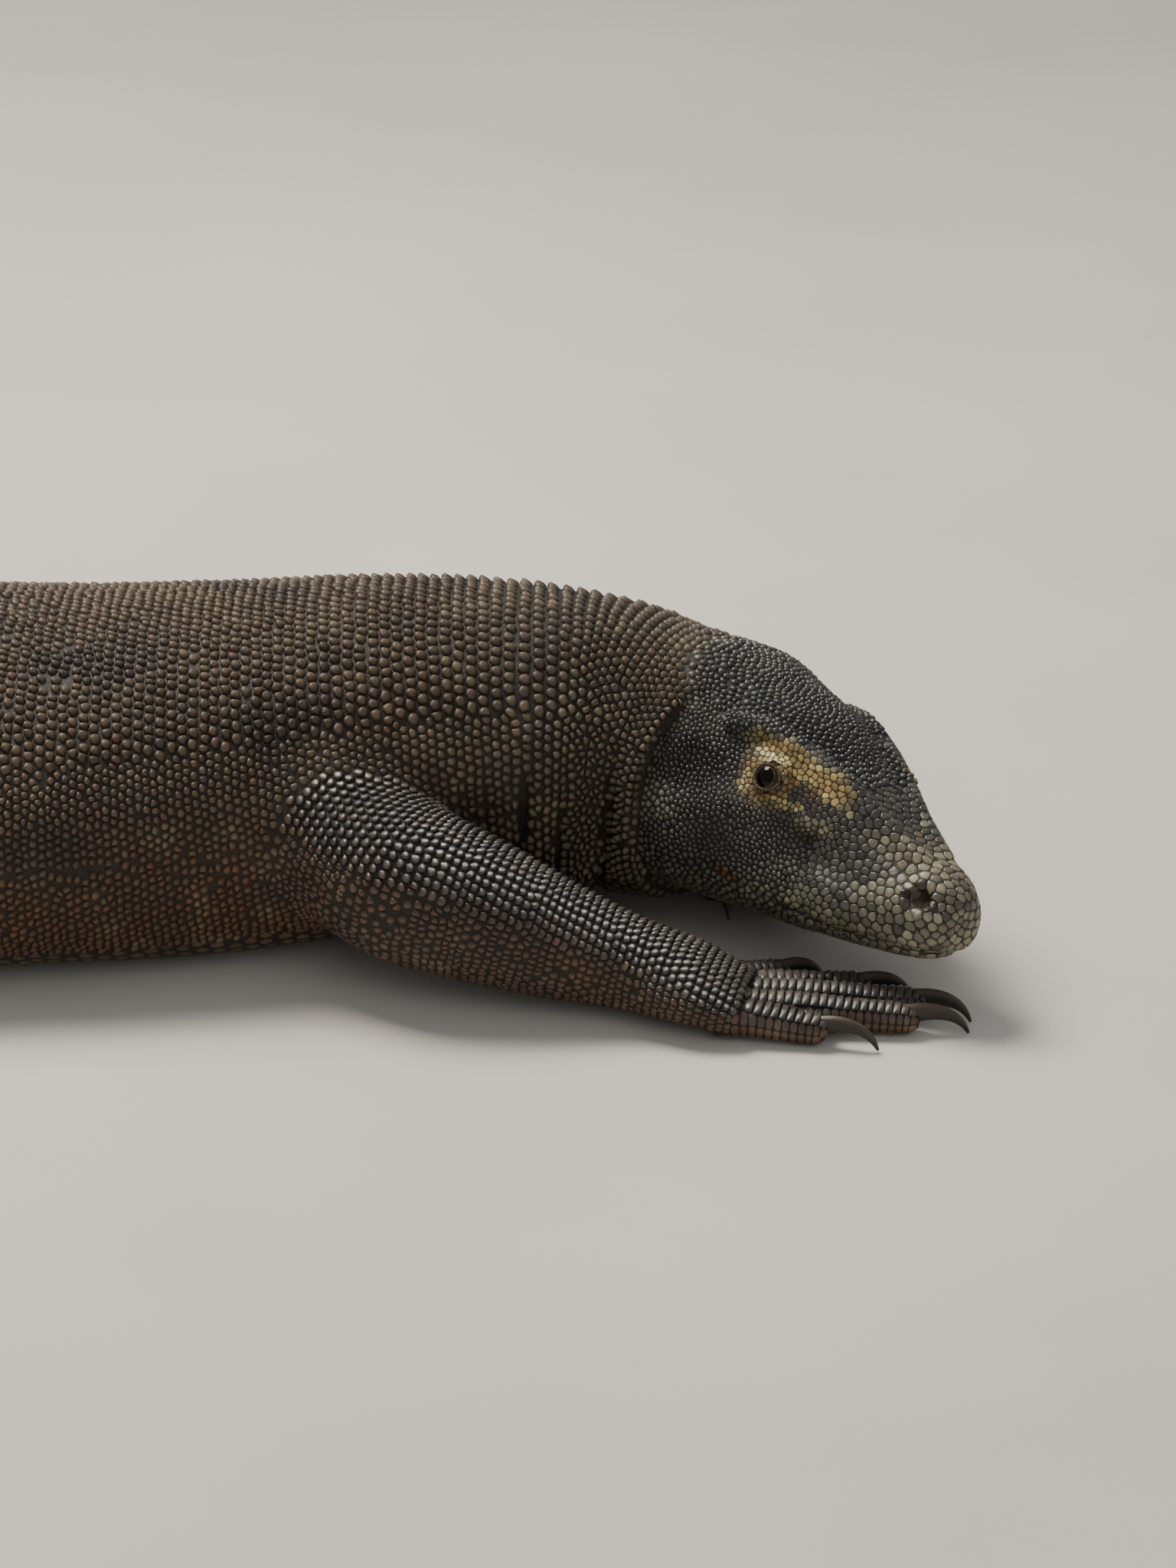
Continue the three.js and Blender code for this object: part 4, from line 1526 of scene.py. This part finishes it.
# ----------------------------------------------------------------------------------------- finishes
class Graph:
    """A material's node tree under construction."""

    def __init__(self, name: str) -> None:
        """Starts a material with its shader in place."""
        self.material = bpy.data.materials.new(name)
        self.material.use_nodes = True
        self.tree = self.material.node_tree
        self.shader = self.tree.nodes["Principled BSDF"]

    def add(self, kind: str, sockets: dict | None = None, **settings: object) -> bpy.types.Node:
        """Adds a node.

        Args:
            kind: the node's type name.
            sockets: input name or number to a value, or to the socket it is read from.
            settings: the node's own properties.

        Returns:
            The node.
        """
        node = self.tree.nodes.new(kind)
        for key, value in settings.items():
            setattr(node, key, value)
        for key, value in (sockets or {}).items():
            self.feed(node.inputs[key], value)
        return node

    def feed(self, socket: Socket, value: object) -> None:
        """Sets a socket or links another to it."""
        if isinstance(value, Socket):
            self.tree.links.new(value, socket)
        else:
            socket.default_value = value

    def place(self) -> Socket:
        """Object coordinates."""
        return self.add("ShaderNodeTexCoord").outputs["Object"]

    def noise(self, place: Socket, scale: float, detail: float = 3.0) -> Socket:
        """Noise over a place, from 0 to 1."""
        sockets = {"Vector": place, "Scale": scale, "Detail": detail}
        return self.add("ShaderNodeTexNoise", sockets).outputs["Fac"]

    def spread(self, value: Socket, low: float, high: float, start: float = 0.3, stop: float = 0.7) -> Socket:
        """Stretches a value between two ends."""
        return self.add("ShaderNodeMapRange", {"Value": value, "From Min": start, "From Max": stop,
                                               "To Min": low, "To Max": high}).outputs["Result"]

    def scaled(self, colour: Socket, factor: Socket) -> Socket:
        """A colour made lighter or darker."""
        node = self.add("ShaderNodeVectorMath", {0: colour, "Scale": factor}, operation="SCALE")
        return node.outputs["Vector"]

    def blend(self, a: object, b: object, factor: object) -> Socket:
        """Mixes two colours."""
        return self.add("ShaderNodeMix", {0: factor, 6: a, 7: b}, data_type="RGBA").outputs[2]

    def tint(self) -> Socket:
        """The mesh's own colour."""
        return self.add("ShaderNodeAttribute", attribute_name="Tint").outputs["Color"]

    def chart(self, name: str, stretch: tuple[float, float, float]) -> tuple[Socket, Socket]:
        """A UV map's second coordinate, and the whole map stretched for streaks."""
        chart = self.add("ShaderNodeUVMap", uv_map=name).outputs["UV"]
        second = self.add("ShaderNodeSeparateXYZ", {"Vector": chart}).outputs["Y"]
        return second, self.add("ShaderNodeMapping", {"Vector": chart, "Scale": stretch}).outputs["Vector"]

    def surface(self, colour: Socket, roughness: object, specular: float = 0.5) -> None:
        """Sets the shader's colour, roughness and shine."""
        looks = {"Base Color": colour, "Roughness": roughness, "Specular IOR Level": specular}
        for key, value in looks.items():
            self.feed(self.shader.inputs[key], value)

    def bump(self, height: Socket, distance: float, strength: float) -> None:
        """Presses a relief into the shader's normal."""
        node = self.add("ShaderNodeBump", {"Height": height, "Distance": distance, "Strength": strength})
        self.feed(self.shader.inputs["Normal"], node.outputs["Normal"])


@dataclass(frozen=True)
class HornFinish:
    """Scales and skin: the mesh's own tint, mottled finely, with a dull wax sheen and tiny ridges."""

    name: str
    mottle: tuple[float, float] = (0.80, 1.22)
    roughness: tuple[float, float] = (0.42, 0.62)
    grain: float = 800.0
    relief: float = 0.6
    specular: float = 0.5

    def build(self) -> bpy.types.Material:
        """Makes the material."""
        graph = Graph(self.name)
        place = graph.place()
        fine = graph.noise(place, 420.0, 4.0)
        broad = graph.noise(place, 60.0, 2.0)
        colour = graph.scaled(graph.tint(), graph.spread(fine, *self.mottle))
        colour = graph.scaled(colour, graph.spread(broad, 0.9, 1.1))
        graph.surface(colour, graph.spread(fine, *self.roughness), self.specular)
        graph.bump(graph.noise(place, self.grain, 3.0), 0.0004, self.relief)
        return graph.material


@dataclass(frozen=True)
class SkinFinish:
    """The skin between the scales: dark, dull and finely wrinkled, with painted shade along the wrinkle
    lines.
    """

    name: str
    wrinkle: float = 520.0

    def build(self) -> bpy.types.Material:
        """Makes the material."""
        graph = Graph(self.name)
        place = graph.place()
        cells = graph.add("ShaderNodeTexVoronoi", {"Vector": place, "Scale": self.wrinkle},
                          feature="DISTANCE_TO_EDGE").outputs["Distance"]
        # The same crease value darkens the tint along the wrinkle lines as painted shade, and sinks them in
        # the bump.
        crease = graph.spread(cells, 0.55, 1.1, 0.0, 0.25)
        dull = graph.spread(graph.noise(place, 200.0), 0.55, 0.75)
        graph.surface(graph.scaled(graph.tint(), crease), dull, 0.4)
        graph.bump(crease, 0.0006, 0.5)
        return graph.material


@dataclass(frozen=True)
class ClawFinish:
    """Claws: dark horn, paler along the back, streaked from root to point and polished by wear."""

    name: str = "claw_horn"

    def build(self) -> bpy.types.Material:
        """Makes the material."""
        graph = Graph(self.name)
        back, stretched = graph.chart("Claw", (3.0, 26.0, 1.0))
        streaks = graph.noise(stretched, 2.2, 3.0)
        factors = {0: graph.spread(back, 0.0, 1.0, 0.55, 1.0), 1: graph.spread(streaks, 0.3, 1.0)}
        # Blend factor: paler along the upward side of the claw, streaked from root to point.
        worn = graph.add("ShaderNodeMath", factors, operation="MULTIPLY").outputs[0]
        graph.surface(graph.blend(rgba("1f1a16"), rgba("54483a"), worn), graph.spread(streaks, 0.28, 0.48))
        graph.bump(streaks, 0.0003, 0.5)
        return graph.material


@dataclass(frozen=True)
class EyeFinish:
    """The eye: round pupil, dark brown iris a little lighter at its inner edge, wet all over."""

    name: str = "eye_wet"
    # From the front to the back of the ball: place and colour.
    stops: tuple = ((0.0, "040303"), (0.17, "050403"), (0.19, "4f3a22"), (0.205, "2c1c10"), (0.30, "38240f"),
                    (0.345, "1a120b"), (0.37, "0a0807"), (1.0, "181310"))

    def build(self) -> bpy.types.Material:
        """Makes the material."""
        graph = Graph(self.name)
        depth, stretched = graph.chart("Eye", (60.0, 4.0, 1.0))
        rays = graph.noise(stretched, 1.0, 3.0)
        rings = graph.add("ShaderNodeValToRGB", {"Fac": depth})
        elements = rings.color_ramp.elements
        while len(elements) < len(self.stops):
            elements.new(0.5)
        for element, (spot, code) in zip(elements, self.stops):
            element.position = spot
            element.color = rgba(code)
        graph.surface(graph.scaled(rings.outputs["Color"], graph.spread(rays, 0.6, 1.5)), 0.07, 0.2)
        return graph.material


@dataclass(frozen=True)
class FloorFinish:
    """Plain pale floor, barely mottled."""

    name: str = "pale_floor"

    def build(self) -> bpy.types.Material:
        """Makes the material."""
        graph = Graph(self.name)
        mottle = graph.noise(graph.place(), 3.0)
        graph.surface(graph.blend(rgba("cfc9be"), rgba("c6c0b5"), graph.spread(mottle, 0.0, 1.0)), 0.9)
        return graph.material


# ------------------------------------------------------------------------------------------- pieces
def stand(name: str, data: bpy.types.ID) -> bpy.types.Object:
    """Makes an object and puts it in the scene."""
    thing = bpy.data.objects.new(name, data)
    bpy.context.scene.collection.objects.link(thing)
    return thing


def store_tint(mesh: bpy.types.Mesh, colours: Array) -> None:
    """Stores a colour for each point of a mesh."""
    rows = np.hstack([np.clip(colours, 0, 1), np.ones((len(colours), 1))]).astype(np.float32)
    mesh.attributes.new("Tint", "FLOAT_COLOR", "POINT").data.foreach_set("color", rows.ravel())


class Piece:
    """A finished mesh object, made in one go from arrays."""

    def __init__(self, name: str, points: Array, faces: Sequence[Array], shift: Array) -> None:
        """Makes the mesh.

        Args:
            name: the piece's name.
            points: its points in the plan frame.
            faces: arrays of faces, one array for each number of corners.
            shift: the plan's origin in the frame of the solids, in metres.
        """
        self.corners = np.concatenate([part.reshape(-1) for part in faces]).astype(np.int32)
        sizes = np.concatenate([np.full(len(part), part.shape[1]) for part in faces])
        mesh = bpy.data.meshes.new(name)
        mesh.vertices.add(len(points))
        mesh.vertices.foreach_set("co", (points * MM + shift).astype(np.float32).ravel())
        mesh.loops.add(len(self.corners))
        mesh.loops.foreach_set("vertex_index", self.corners)
        mesh.polygons.add(len(sizes))
        mesh.polygons.foreach_set("loop_start", (np.cumsum(sizes) - sizes).astype(np.int32))
        mesh.polygons.foreach_set("use_smooth", np.ones(len(sizes), bool))
        mesh.update(calc_edges=True)
        self.mesh = mesh
        self.triangles = int((sizes - 2).sum())
        self.thing = stand(name, mesh)

    def tint(self, colours: Array) -> "Piece":
        """Stores a colour for each point."""
        store_tint(self.mesh, colours)
        return self

    def chart(self, name: str, places: Array) -> "Piece":
        """Stores a UV place for each point."""
        layer = self.mesh.uv_layers.new(name=name)
        layer.data.foreach_set("uv", places[self.corners].astype(np.float32).ravel())
        return self

    def dress(self, material: bpy.types.Material, slot: str, *replaced: str) -> None:
        """Gives the piece its material and tells the frame about it."""
        self.mesh.materials.append(material)
        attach(self.thing, "root")
        if replaced:
            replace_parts(self.thing, *replaced)
        self.thing
        log.info("%s: %d triangles", self.thing.name, self.triangles)


@dataclass
class Skin:
    """The one skin under every scale."""

    hide: Hide
    mesh: SkinMesh
    markings: Markings
    shift: Array
    strength: float = 0.14  # of the markings on the skin, and of the near-black under them: the skin's own darker colour, deepened as painted shade in the gaps between scales
    dark_skin_and_gap_shade: float = 0.35

    def build(self, replaced: Sequence[str]) -> None:
        """Makes the skin and stands it in for the flesh nodes."""
        points, faces = self.mesh
        tone = self.markings.read(points, self.hide.slope(points))
        # The skin shows only between the scales: its tint is the skin's own darker colour taken down to
        # near-black, partly painted shade in those gaps.
        dark_skin_and_gap_shade = tone * self.strength + paint("1d1a17") * self.dark_skin_and_gap_shade
        tint = self.rims(self.hide.head.to_local(points), dark_skin_and_gap_shade)
        skin = Piece("skin", points, faces, self.shift).tint(tint)
        skin.dress(SkinFinish("dark_skin").build(), "hide", *replaced)

    def rims(self, local: Array, tint: Array) -> Array:
        """Colours the bare places: the pale rims of the nostrils with painted shade inside them, and the lids
        round the eyes.

        Args:
            local: the skin's points in the head's frame.
            tint: their colours.

        Returns:
            The new colours.
        """
        q = mirrored(local)
        nostril = q - np.array(self.hide.forms.nostril)
        rim, inner = (np.linalg.norm(nostril / sizes, axis=1) for sizes in ([7.5, 9, 6.5], [6.3, 20, 5.4]))
        eye = np.linalg.norm(q - np.array(EYE_AT), axis=1)
        tint = mix(tint, "8d8560", 1 - ramp(rim, 0.9, 1.1))
        # Painted shade inside the nostril opening.
        tint = mix(tint, "33190d", 1 - ramp(inner, 0.80, 1.0))
        return mix(tint, "3a2f20", (1 - ramp(eye, 13.2, 14.8)) * 0.8)


@dataclass
class Coat:
    """All the scales."""

    hide: Hide
    mesh: SkinMesh
    markings: Markings
    shift: Array
    strength: float = 0.66  # of the markings on a scale
    head_spread: float = 0.42  # how much that differs from scale to scale, on the head and elsewhere
    body_spread: float = 0.27
    hue_spread: float = 0.035
    seed: int = 31

    def build(self) -> None:
        """Lays, cuts, colours and stores the scales, piece by piece."""
        bed = ScalePlan(self.hide, self.mesh).lay()
        cutter = ScaleCutter(self.hide, bed)
        tone = self.markings.read(bed.place, cutter.normal)
        rng = np.random.default_rng(self.seed)
        spread = np.where(bed.piece == 0, self.head_spread, self.body_spread)[:, None]
        tone = tone * (self.strength + spread * rng.uniform(-0.62, 0.5, (len(bed), 1)))
        tone = tone * (1 + rng.normal(0, self.hue_spread, (len(bed), 3)))
        plain = HornFinish("scale_horn").build()
        gloss = HornFinish("scale_polished", roughness=(0.30, 0.48), specular=0.6).build()
        total = 0
        for number, part in enumerate(PIECES):
            cuts: list[Cut] = []
            for style in Style:
                rows = np.flatnonzero((bed.piece == number) & (bed.style == style.code))
                if len(rows):
                    cuts.append(cutter.cut(rows, FORMS[style], sum(len(cut.points) for cut in cuts)))
            cut = Cut(*(np.concatenate(column) for column in zip(*cuts)))
            crest = cut.crest[:, None]
            # Painted shade and highlight: each scale's tint falls to about a quarter at its rim, in the
            # grooves between scales, and rises past its own colour at the crest.
            groove_shade_and_crest_highlight = 0.26 + 0.64 * ramp(crest, 0.0, 0.8) + 0.30 * ramp(crest, 0.75, 1.0)
            piece = Piece(part.name, cut.points, [cut.fans, cut.quads], self.shift)
            piece.tint(tone[cut.owner] * groove_shade_and_crest_highlight).chart("OFBake", cut.chart)
            piece.dress(gloss if part.polished else plain, part.slot)
            total += piece.triangles
        log.info("%d scales, %d triangles", len(bed), total)


@dataclass
class Claw:
    """A hooked claw over its solid: a keeled back, hollow flanks and a worn point."""

    name: str
    plan: Sequence[float]
    shift: Array
    wide: float = 3.6
    tall: float = 5.4
    taper: float = 0.86
    rows: int = 28
    columns: int = 20

    def build(self, material: bpy.types.Material) -> None:
        """Makes the claw and replaces its solid."""
        tip, point, wide = np.array(self.plan[2:4]), np.array(self.plan[4:6]), self.plan[6]
        stations = claw_stations(tip, point, wide)
        share, angle = tube_grid(np.linspace(0, 1, self.rows), self.columns)
        curve = Loft(self.name, np.hstack([stations, stations]))
        _, side, up = curve.axes(share)
        taper = 1 - self.taper * share**1.5
        s, c = np.sin(angle), np.cos(angle)
        across = power(s, 1.15) * self.wide * taper
        keel = 1 + 0.05 * np.exp(-((angle % (2 * math.pi) - math.pi) / 0.5) ** 2)
        rise = power(c, 0.9) * self.tall * taper * keel
        groove = 1 - 0.08 * np.exp(-((np.abs(c) - 0.25) / 0.2) ** 2)
        points = curve.centre(share) + side * (across * groove)[:, None] + up * rise[:, None]
        points[:, 2] = np.maximum(points[:, 2], 0.05)
        shell = Shell.tube(points, self.columns)
        chart = np.vstack([rows_of(share, (c + 1) / 2), [[0, 0.5], [1, 0.5]]])
        piece = Piece(self.name, shell.points, [shell.fans, shell.quads], self.shift)
        piece.chart("Claw", chart).dress(material, "claw", self.name.removesuffix("_horn"))


@dataclass
class Eyeball:
    """A wet eyeball with a slightly bulging front."""

    name: str
    centre: Array
    gaze: Array
    shift: Array
    radius: float = EYE_RADIUS
    bulge: float = 0.35  # how far the front stands out
    rows: int = 48
    columns: int = 64

    def build(self, material: bpy.types.Material) -> None:
        """Makes the eyeball and replaces its solid."""
        polar, turn = tube_grid(np.linspace(0, math.pi, self.rows + 2)[1:-1], self.columns)
        out = unit(self.gaze)
        side = unit(np.cross([0.0, 0.0, 1.0], out))
        up = np.cross(out, side)
        way = (np.cos(polar)[:, None] * out + (np.sin(polar) * np.cos(turn))[:, None] * side
               + (np.sin(polar) * np.sin(turn))[:, None] * up)
        plain = self.radius - self.bulge
        reach = plain + self.bulge * (1 - ramp(polar, 0.3, 0.75))
        points = self.centre + way * reach[:, None]
        shell = Shell.tube(points, self.columns)
        points = np.vstack([points, self.centre + out * self.radius, self.centre - out * plain])
        faces = [np.roll(part[:, ::-1], 1, axis=1) for part in (shell.fans, shell.quads)]
        chart = np.vstack([rows_of(turn / (2 * math.pi), polar / math.pi), [[0.5, 0], [0.5, 1]]])
        piece = Piece(self.name, points, faces, self.shift)
        piece.chart("Eye", chart).dress(material, "eye", self.name.removesuffix("_ball"))


@dataclass
class LidBeads:
    """Small round scales along the rims of the eyelids, strung on their line by a node group."""

    hide: Hide
    shift: Array
    rows: tuple = ((7.3, 6.1, 30, 0.80), (9.2, 8.0, 34, 0.95))  # half sizes of the ring, count, bead radius
    variation: tuple[float, float] = (0.82, 1.15)
    out: float = 10.5  # how far the rings lie out of the eye, before they are settled on the skin

    def group(self) -> bpy.types.NodeTree:
        """A node group that sets a bead of varied size on every point."""
        tree = bpy.data.node_groups.new("bead_row", "GeometryNodeTree")
        face = tree.interface
        for word, kind in (("Geometry", "Geometry"), ("Bead Radius", "Float"), ("Seed", "Int"),
                           ("Material", "Material")):
            face.new_socket(name=word, in_out="INPUT", socket_type=f"NodeSocket{kind}")
        face.new_socket(name="Geometry", in_out="OUTPUT", socket_type="NodeSocketGeometry")
        start, stop, bead, strung, vary, real, finish = (tree.nodes.new(kind) for kind in (
            "NodeGroupInput", "NodeGroupOutput", "GeometryNodeMeshIcoSphere", "GeometryNodeInstanceOnPoints",
            "FunctionNodeRandomValue", "GeometryNodeRealizeInstances", "GeometryNodeSetMaterial"))
        bead.inputs["Subdivisions"].default_value = 2
        vary.inputs[2].default_value, vary.inputs[3].default_value = self.variation
        for a, b in (
            (start.outputs["Bead Radius"], bead.inputs["Radius"]),
            (start.outputs["Geometry"], strung.inputs["Points"]),
            (start.outputs["Seed"], vary.inputs["Seed"]),
            (bead.outputs["Mesh"], strung.inputs["Instance"]),
            (vary.outputs[1], strung.inputs["Scale"]),
            (strung.outputs["Instances"], real.inputs["Geometry"]),
            (real.outputs["Geometry"], finish.inputs["Geometry"]),
            (start.outputs["Material"], finish.inputs["Material"]),
            (finish.outputs["Geometry"], stop.inputs["Geometry"]),
        ):
            tree.links.new(a, b)
        return tree

    def build(self, material: bpy.types.Material) -> None:
        """Strings the beads round both eyes, as one plain mesh each."""
        tree = self.group()
        names = {item.name: item.identifier for item in tree.interface.items_tree if item.in_out == "INPUT"}
        axes = self.hide.forms.eye_axes()
        for side, word in ((1, "left"), (-1, "right")):
            meshes = []
            for number, (long, tall, count, radius) in enumerate(self.rows):
                turn = np.arange(count) * (2 * math.pi / count)
                ring = rows_of(long * np.cos(turn), self.out, tall * np.sin(turn))
                local = (ring @ axes.T + np.array(EYE_AT)) * [1, side, 1]
                places = self.hide.settle(self.hide.head.to_plan(local), 5)
                line = bpy.data.meshes.new("lid_line")
                line.from_pydata((places * MM + self.shift).tolist(), [], [])
                thing = stand("lid_line", line)
                strung = thing.modifiers.new("beads", "NODES")
                strung.node_group = tree
                strung[names["Bead Radius"]] = radius * MM
                strung[names["Seed"]] = 3 + number
                strung[names["Material"]] = material
                seen = thing.evaluated_get(bpy.context.evaluated_depsgraph_get())
                meshes.append(bpy.data.meshes.new_from_object(seen))
                bpy.data.objects.remove(thing)
            self.join(f"lid_beads_{word}", meshes)

    def join(self, name: str, meshes: Sequence[bpy.types.Mesh]) -> None:
        """Joins realized beads into one piece with its tint."""
        form = bmesh.new()
        for mesh in meshes:
            form.from_mesh(mesh)
        mesh = bpy.data.meshes.new(name)
        form.to_mesh(mesh)
        form.free()
        for material in meshes[0].materials:
            mesh.materials.append(material)
        store_tint(mesh, np.tile(paint("3c3222"), (len(mesh.vertices), 1)))
        mesh.polygons.foreach_set("use_smooth", np.ones(len(mesh.polygons), bool))
        thing = stand(name, mesh)
        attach(thing, "root")
        log.info("%s: %d faces", name, len(mesh.polygons))


# -------------------------------------------------------------------------------------------- stage
@dataclass(frozen=True)
class Stage:
    """Pale floor, soft lights and the camera."""

    floor_size: float = 12.0
    target: tuple = (320.0, -40.0, 89.4)  # plan place at the middle of the picture
    distance: float = 3050.0
    elevation: float = 22.5
    field_of_view: float = 16.0
    surround: float = 0.38

    def build(self, shift: Array) -> None:
        """Makes the stage.

        Args:
            shift: the plan's origin in the frame of the solids, in metres.
        """
        self.floor()
        self.lights(shift)
        self.camera(shift)

    def floor(self) -> None:
        """A large plain plane just under the animal."""
        mesh = bpy.data.meshes.new("floor")
        half = self.floor_size / 2
        corners = [(-half, -half, 0), (half, -half, 0), (half, half, 0), (-half, half, 0)]
        mesh.from_pydata(corners, [], [(0, 1, 2, 3)])
        floor = stand("floor", mesh)
        mesh.materials.append(FloorFinish().build())
        floor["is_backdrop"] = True

    def lights(self, shift: Array) -> None:
        """A key from high on the left and behind, a fill from the front and a dim surround."""
        for name, place, aim, size, watts, colour in (
            ("key", (-700, 700, 2300), (250, 0, 60), 1.1, 105.0, (1.0, 0.95, 0.88)),
            ("fill", (900, -2600, 1500), (300, -60, 60), 2.4, 26.0, (0.93, 0.96, 1.0)),
        ):
            lamp = bpy.data.lights.new(name, "AREA")
            lamp.size, lamp.energy, lamp.color = size, watts, colour
            light = stand(name, lamp)
            light.visible_glossy = name == "key"
            light.location = Vector(place) * MM + Vector(shift)
            way = Vector(aim) * MM + Vector(shift) - light.location
            light.rotation_euler = way.to_track_quat("-Z", "Y").to_euler()
        world = bpy.data.worlds.new("studio")
        world.use_nodes = True
        sky = world.node_tree.nodes["Background"].inputs
        sky["Color"].default_value = (0.92, 0.95, 1.0, 1)
        sky["Strength"].default_value = self.surround
        bpy.context.scene.world = world

    def camera(self, shift: Array) -> None:
        """A long lens a little above the animal's right side."""
        lens = bpy.data.cameras.new("camera")
        lens.sensor_fit = "AUTO"
        lens.sensor_width = 36.0
        lens.lens = lens.sensor_width / 2 / math.tan(math.radians(self.field_of_view / 2))
        lens.clip_start, lens.clip_end = 0.1, 50.0
        camera = stand("camera", lens)
        rise = math.radians(self.elevation)
        target = Vector(self.target) * MM + Vector(shift)
        camera.location = target - Vector((0, math.cos(rise), -math.sin(rise))) * self.distance * MM
        camera.rotation_euler = (math.radians(90 - self.elevation), 0, 0)
        bpy.context.scene.camera = camera


def claw_stations(tip: Array, point: Array, wide: float, count: int = 9) -> Array:
    """The claw's centre line: it leaves the top of the digit and bends down to its point."""
    start = np.array([*tip, wide * 1.15])
    end = np.array([*point, 1.2])
    bend = start + (end - start) * 0.78
    bend[2] = wide * 1.7
    t = np.linspace(0, 1, count)[:, None]
    return (1 - t) ** 2 * start + 2 * t * (1 - t) * bend + t * t * end


def write_size() -> None:
    """Works out the size before and after dressing; the result is not kept."""
    ({"solids": [list(corner) for corner in solid_box],
               "model": [list(corner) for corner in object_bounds()]})


def main() -> None:
    """Builds the animal piece by piece, then the stage."""
    logging.basicConfig(level=logging.INFO, format="%(name)s: %(message)s")
    low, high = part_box("belly")
    shift = np.array([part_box("neck")[0][0] - NECK_CUT * MM, (low[1] + high[1]) / 2, 0.0])
    trunk, head = Trunk("trunk", np.array(TRUNK_PLAN, float)), HeadLoft()
    legs = {name: Loft(name, np.array(plan, float)) for name, plan in LEG_PLANS.items()}
    digits = {f"{leg}_{i + 1}": digit_loft(f"{leg}_{i + 1}", plan)
              for leg, plans in DIGIT_PLANS.items() for i, plan in enumerate(plans)}
    hide = Hide(trunk, head, legs, digits)
    log.info("modelled the form")
    markings = Markings(hide)
    flesh = [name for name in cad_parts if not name.startswith(("claw", "eye"))]
    mesh = hide.skin()
    Skin(hide, mesh, markings, shift).build(flesh)
    Coat(hide, mesh, markings, shift).build()
    LidBeads(hide, shift).build(HornFinish("lid_scale", roughness=(0.35, 0.5)).build())
    horn = ClawFinish().build()
    for leg, plans in DIGIT_PLANS.items():
        for i, plan in enumerate(plans):
            Claw(f"claw_{leg}_{i + 1}_horn", plan, shift).build(horn)
    wet = EyeFinish().build()
    for side, word in ((1, "left"), (-1, "right")):
        mirror = np.array([1, side, 1])
        gaze = head.turn @ (np.array(hide.forms.gaze) * mirror)
        centre = head.to_plan((np.array(EYE_AT) * mirror)[None])[0]
        Eyeball(f"eye_{word}_ball", centre, gaze, shift).build(wet)
    Stage().build(shift)
    write_size()


if __name__ == "__main__":
    main()
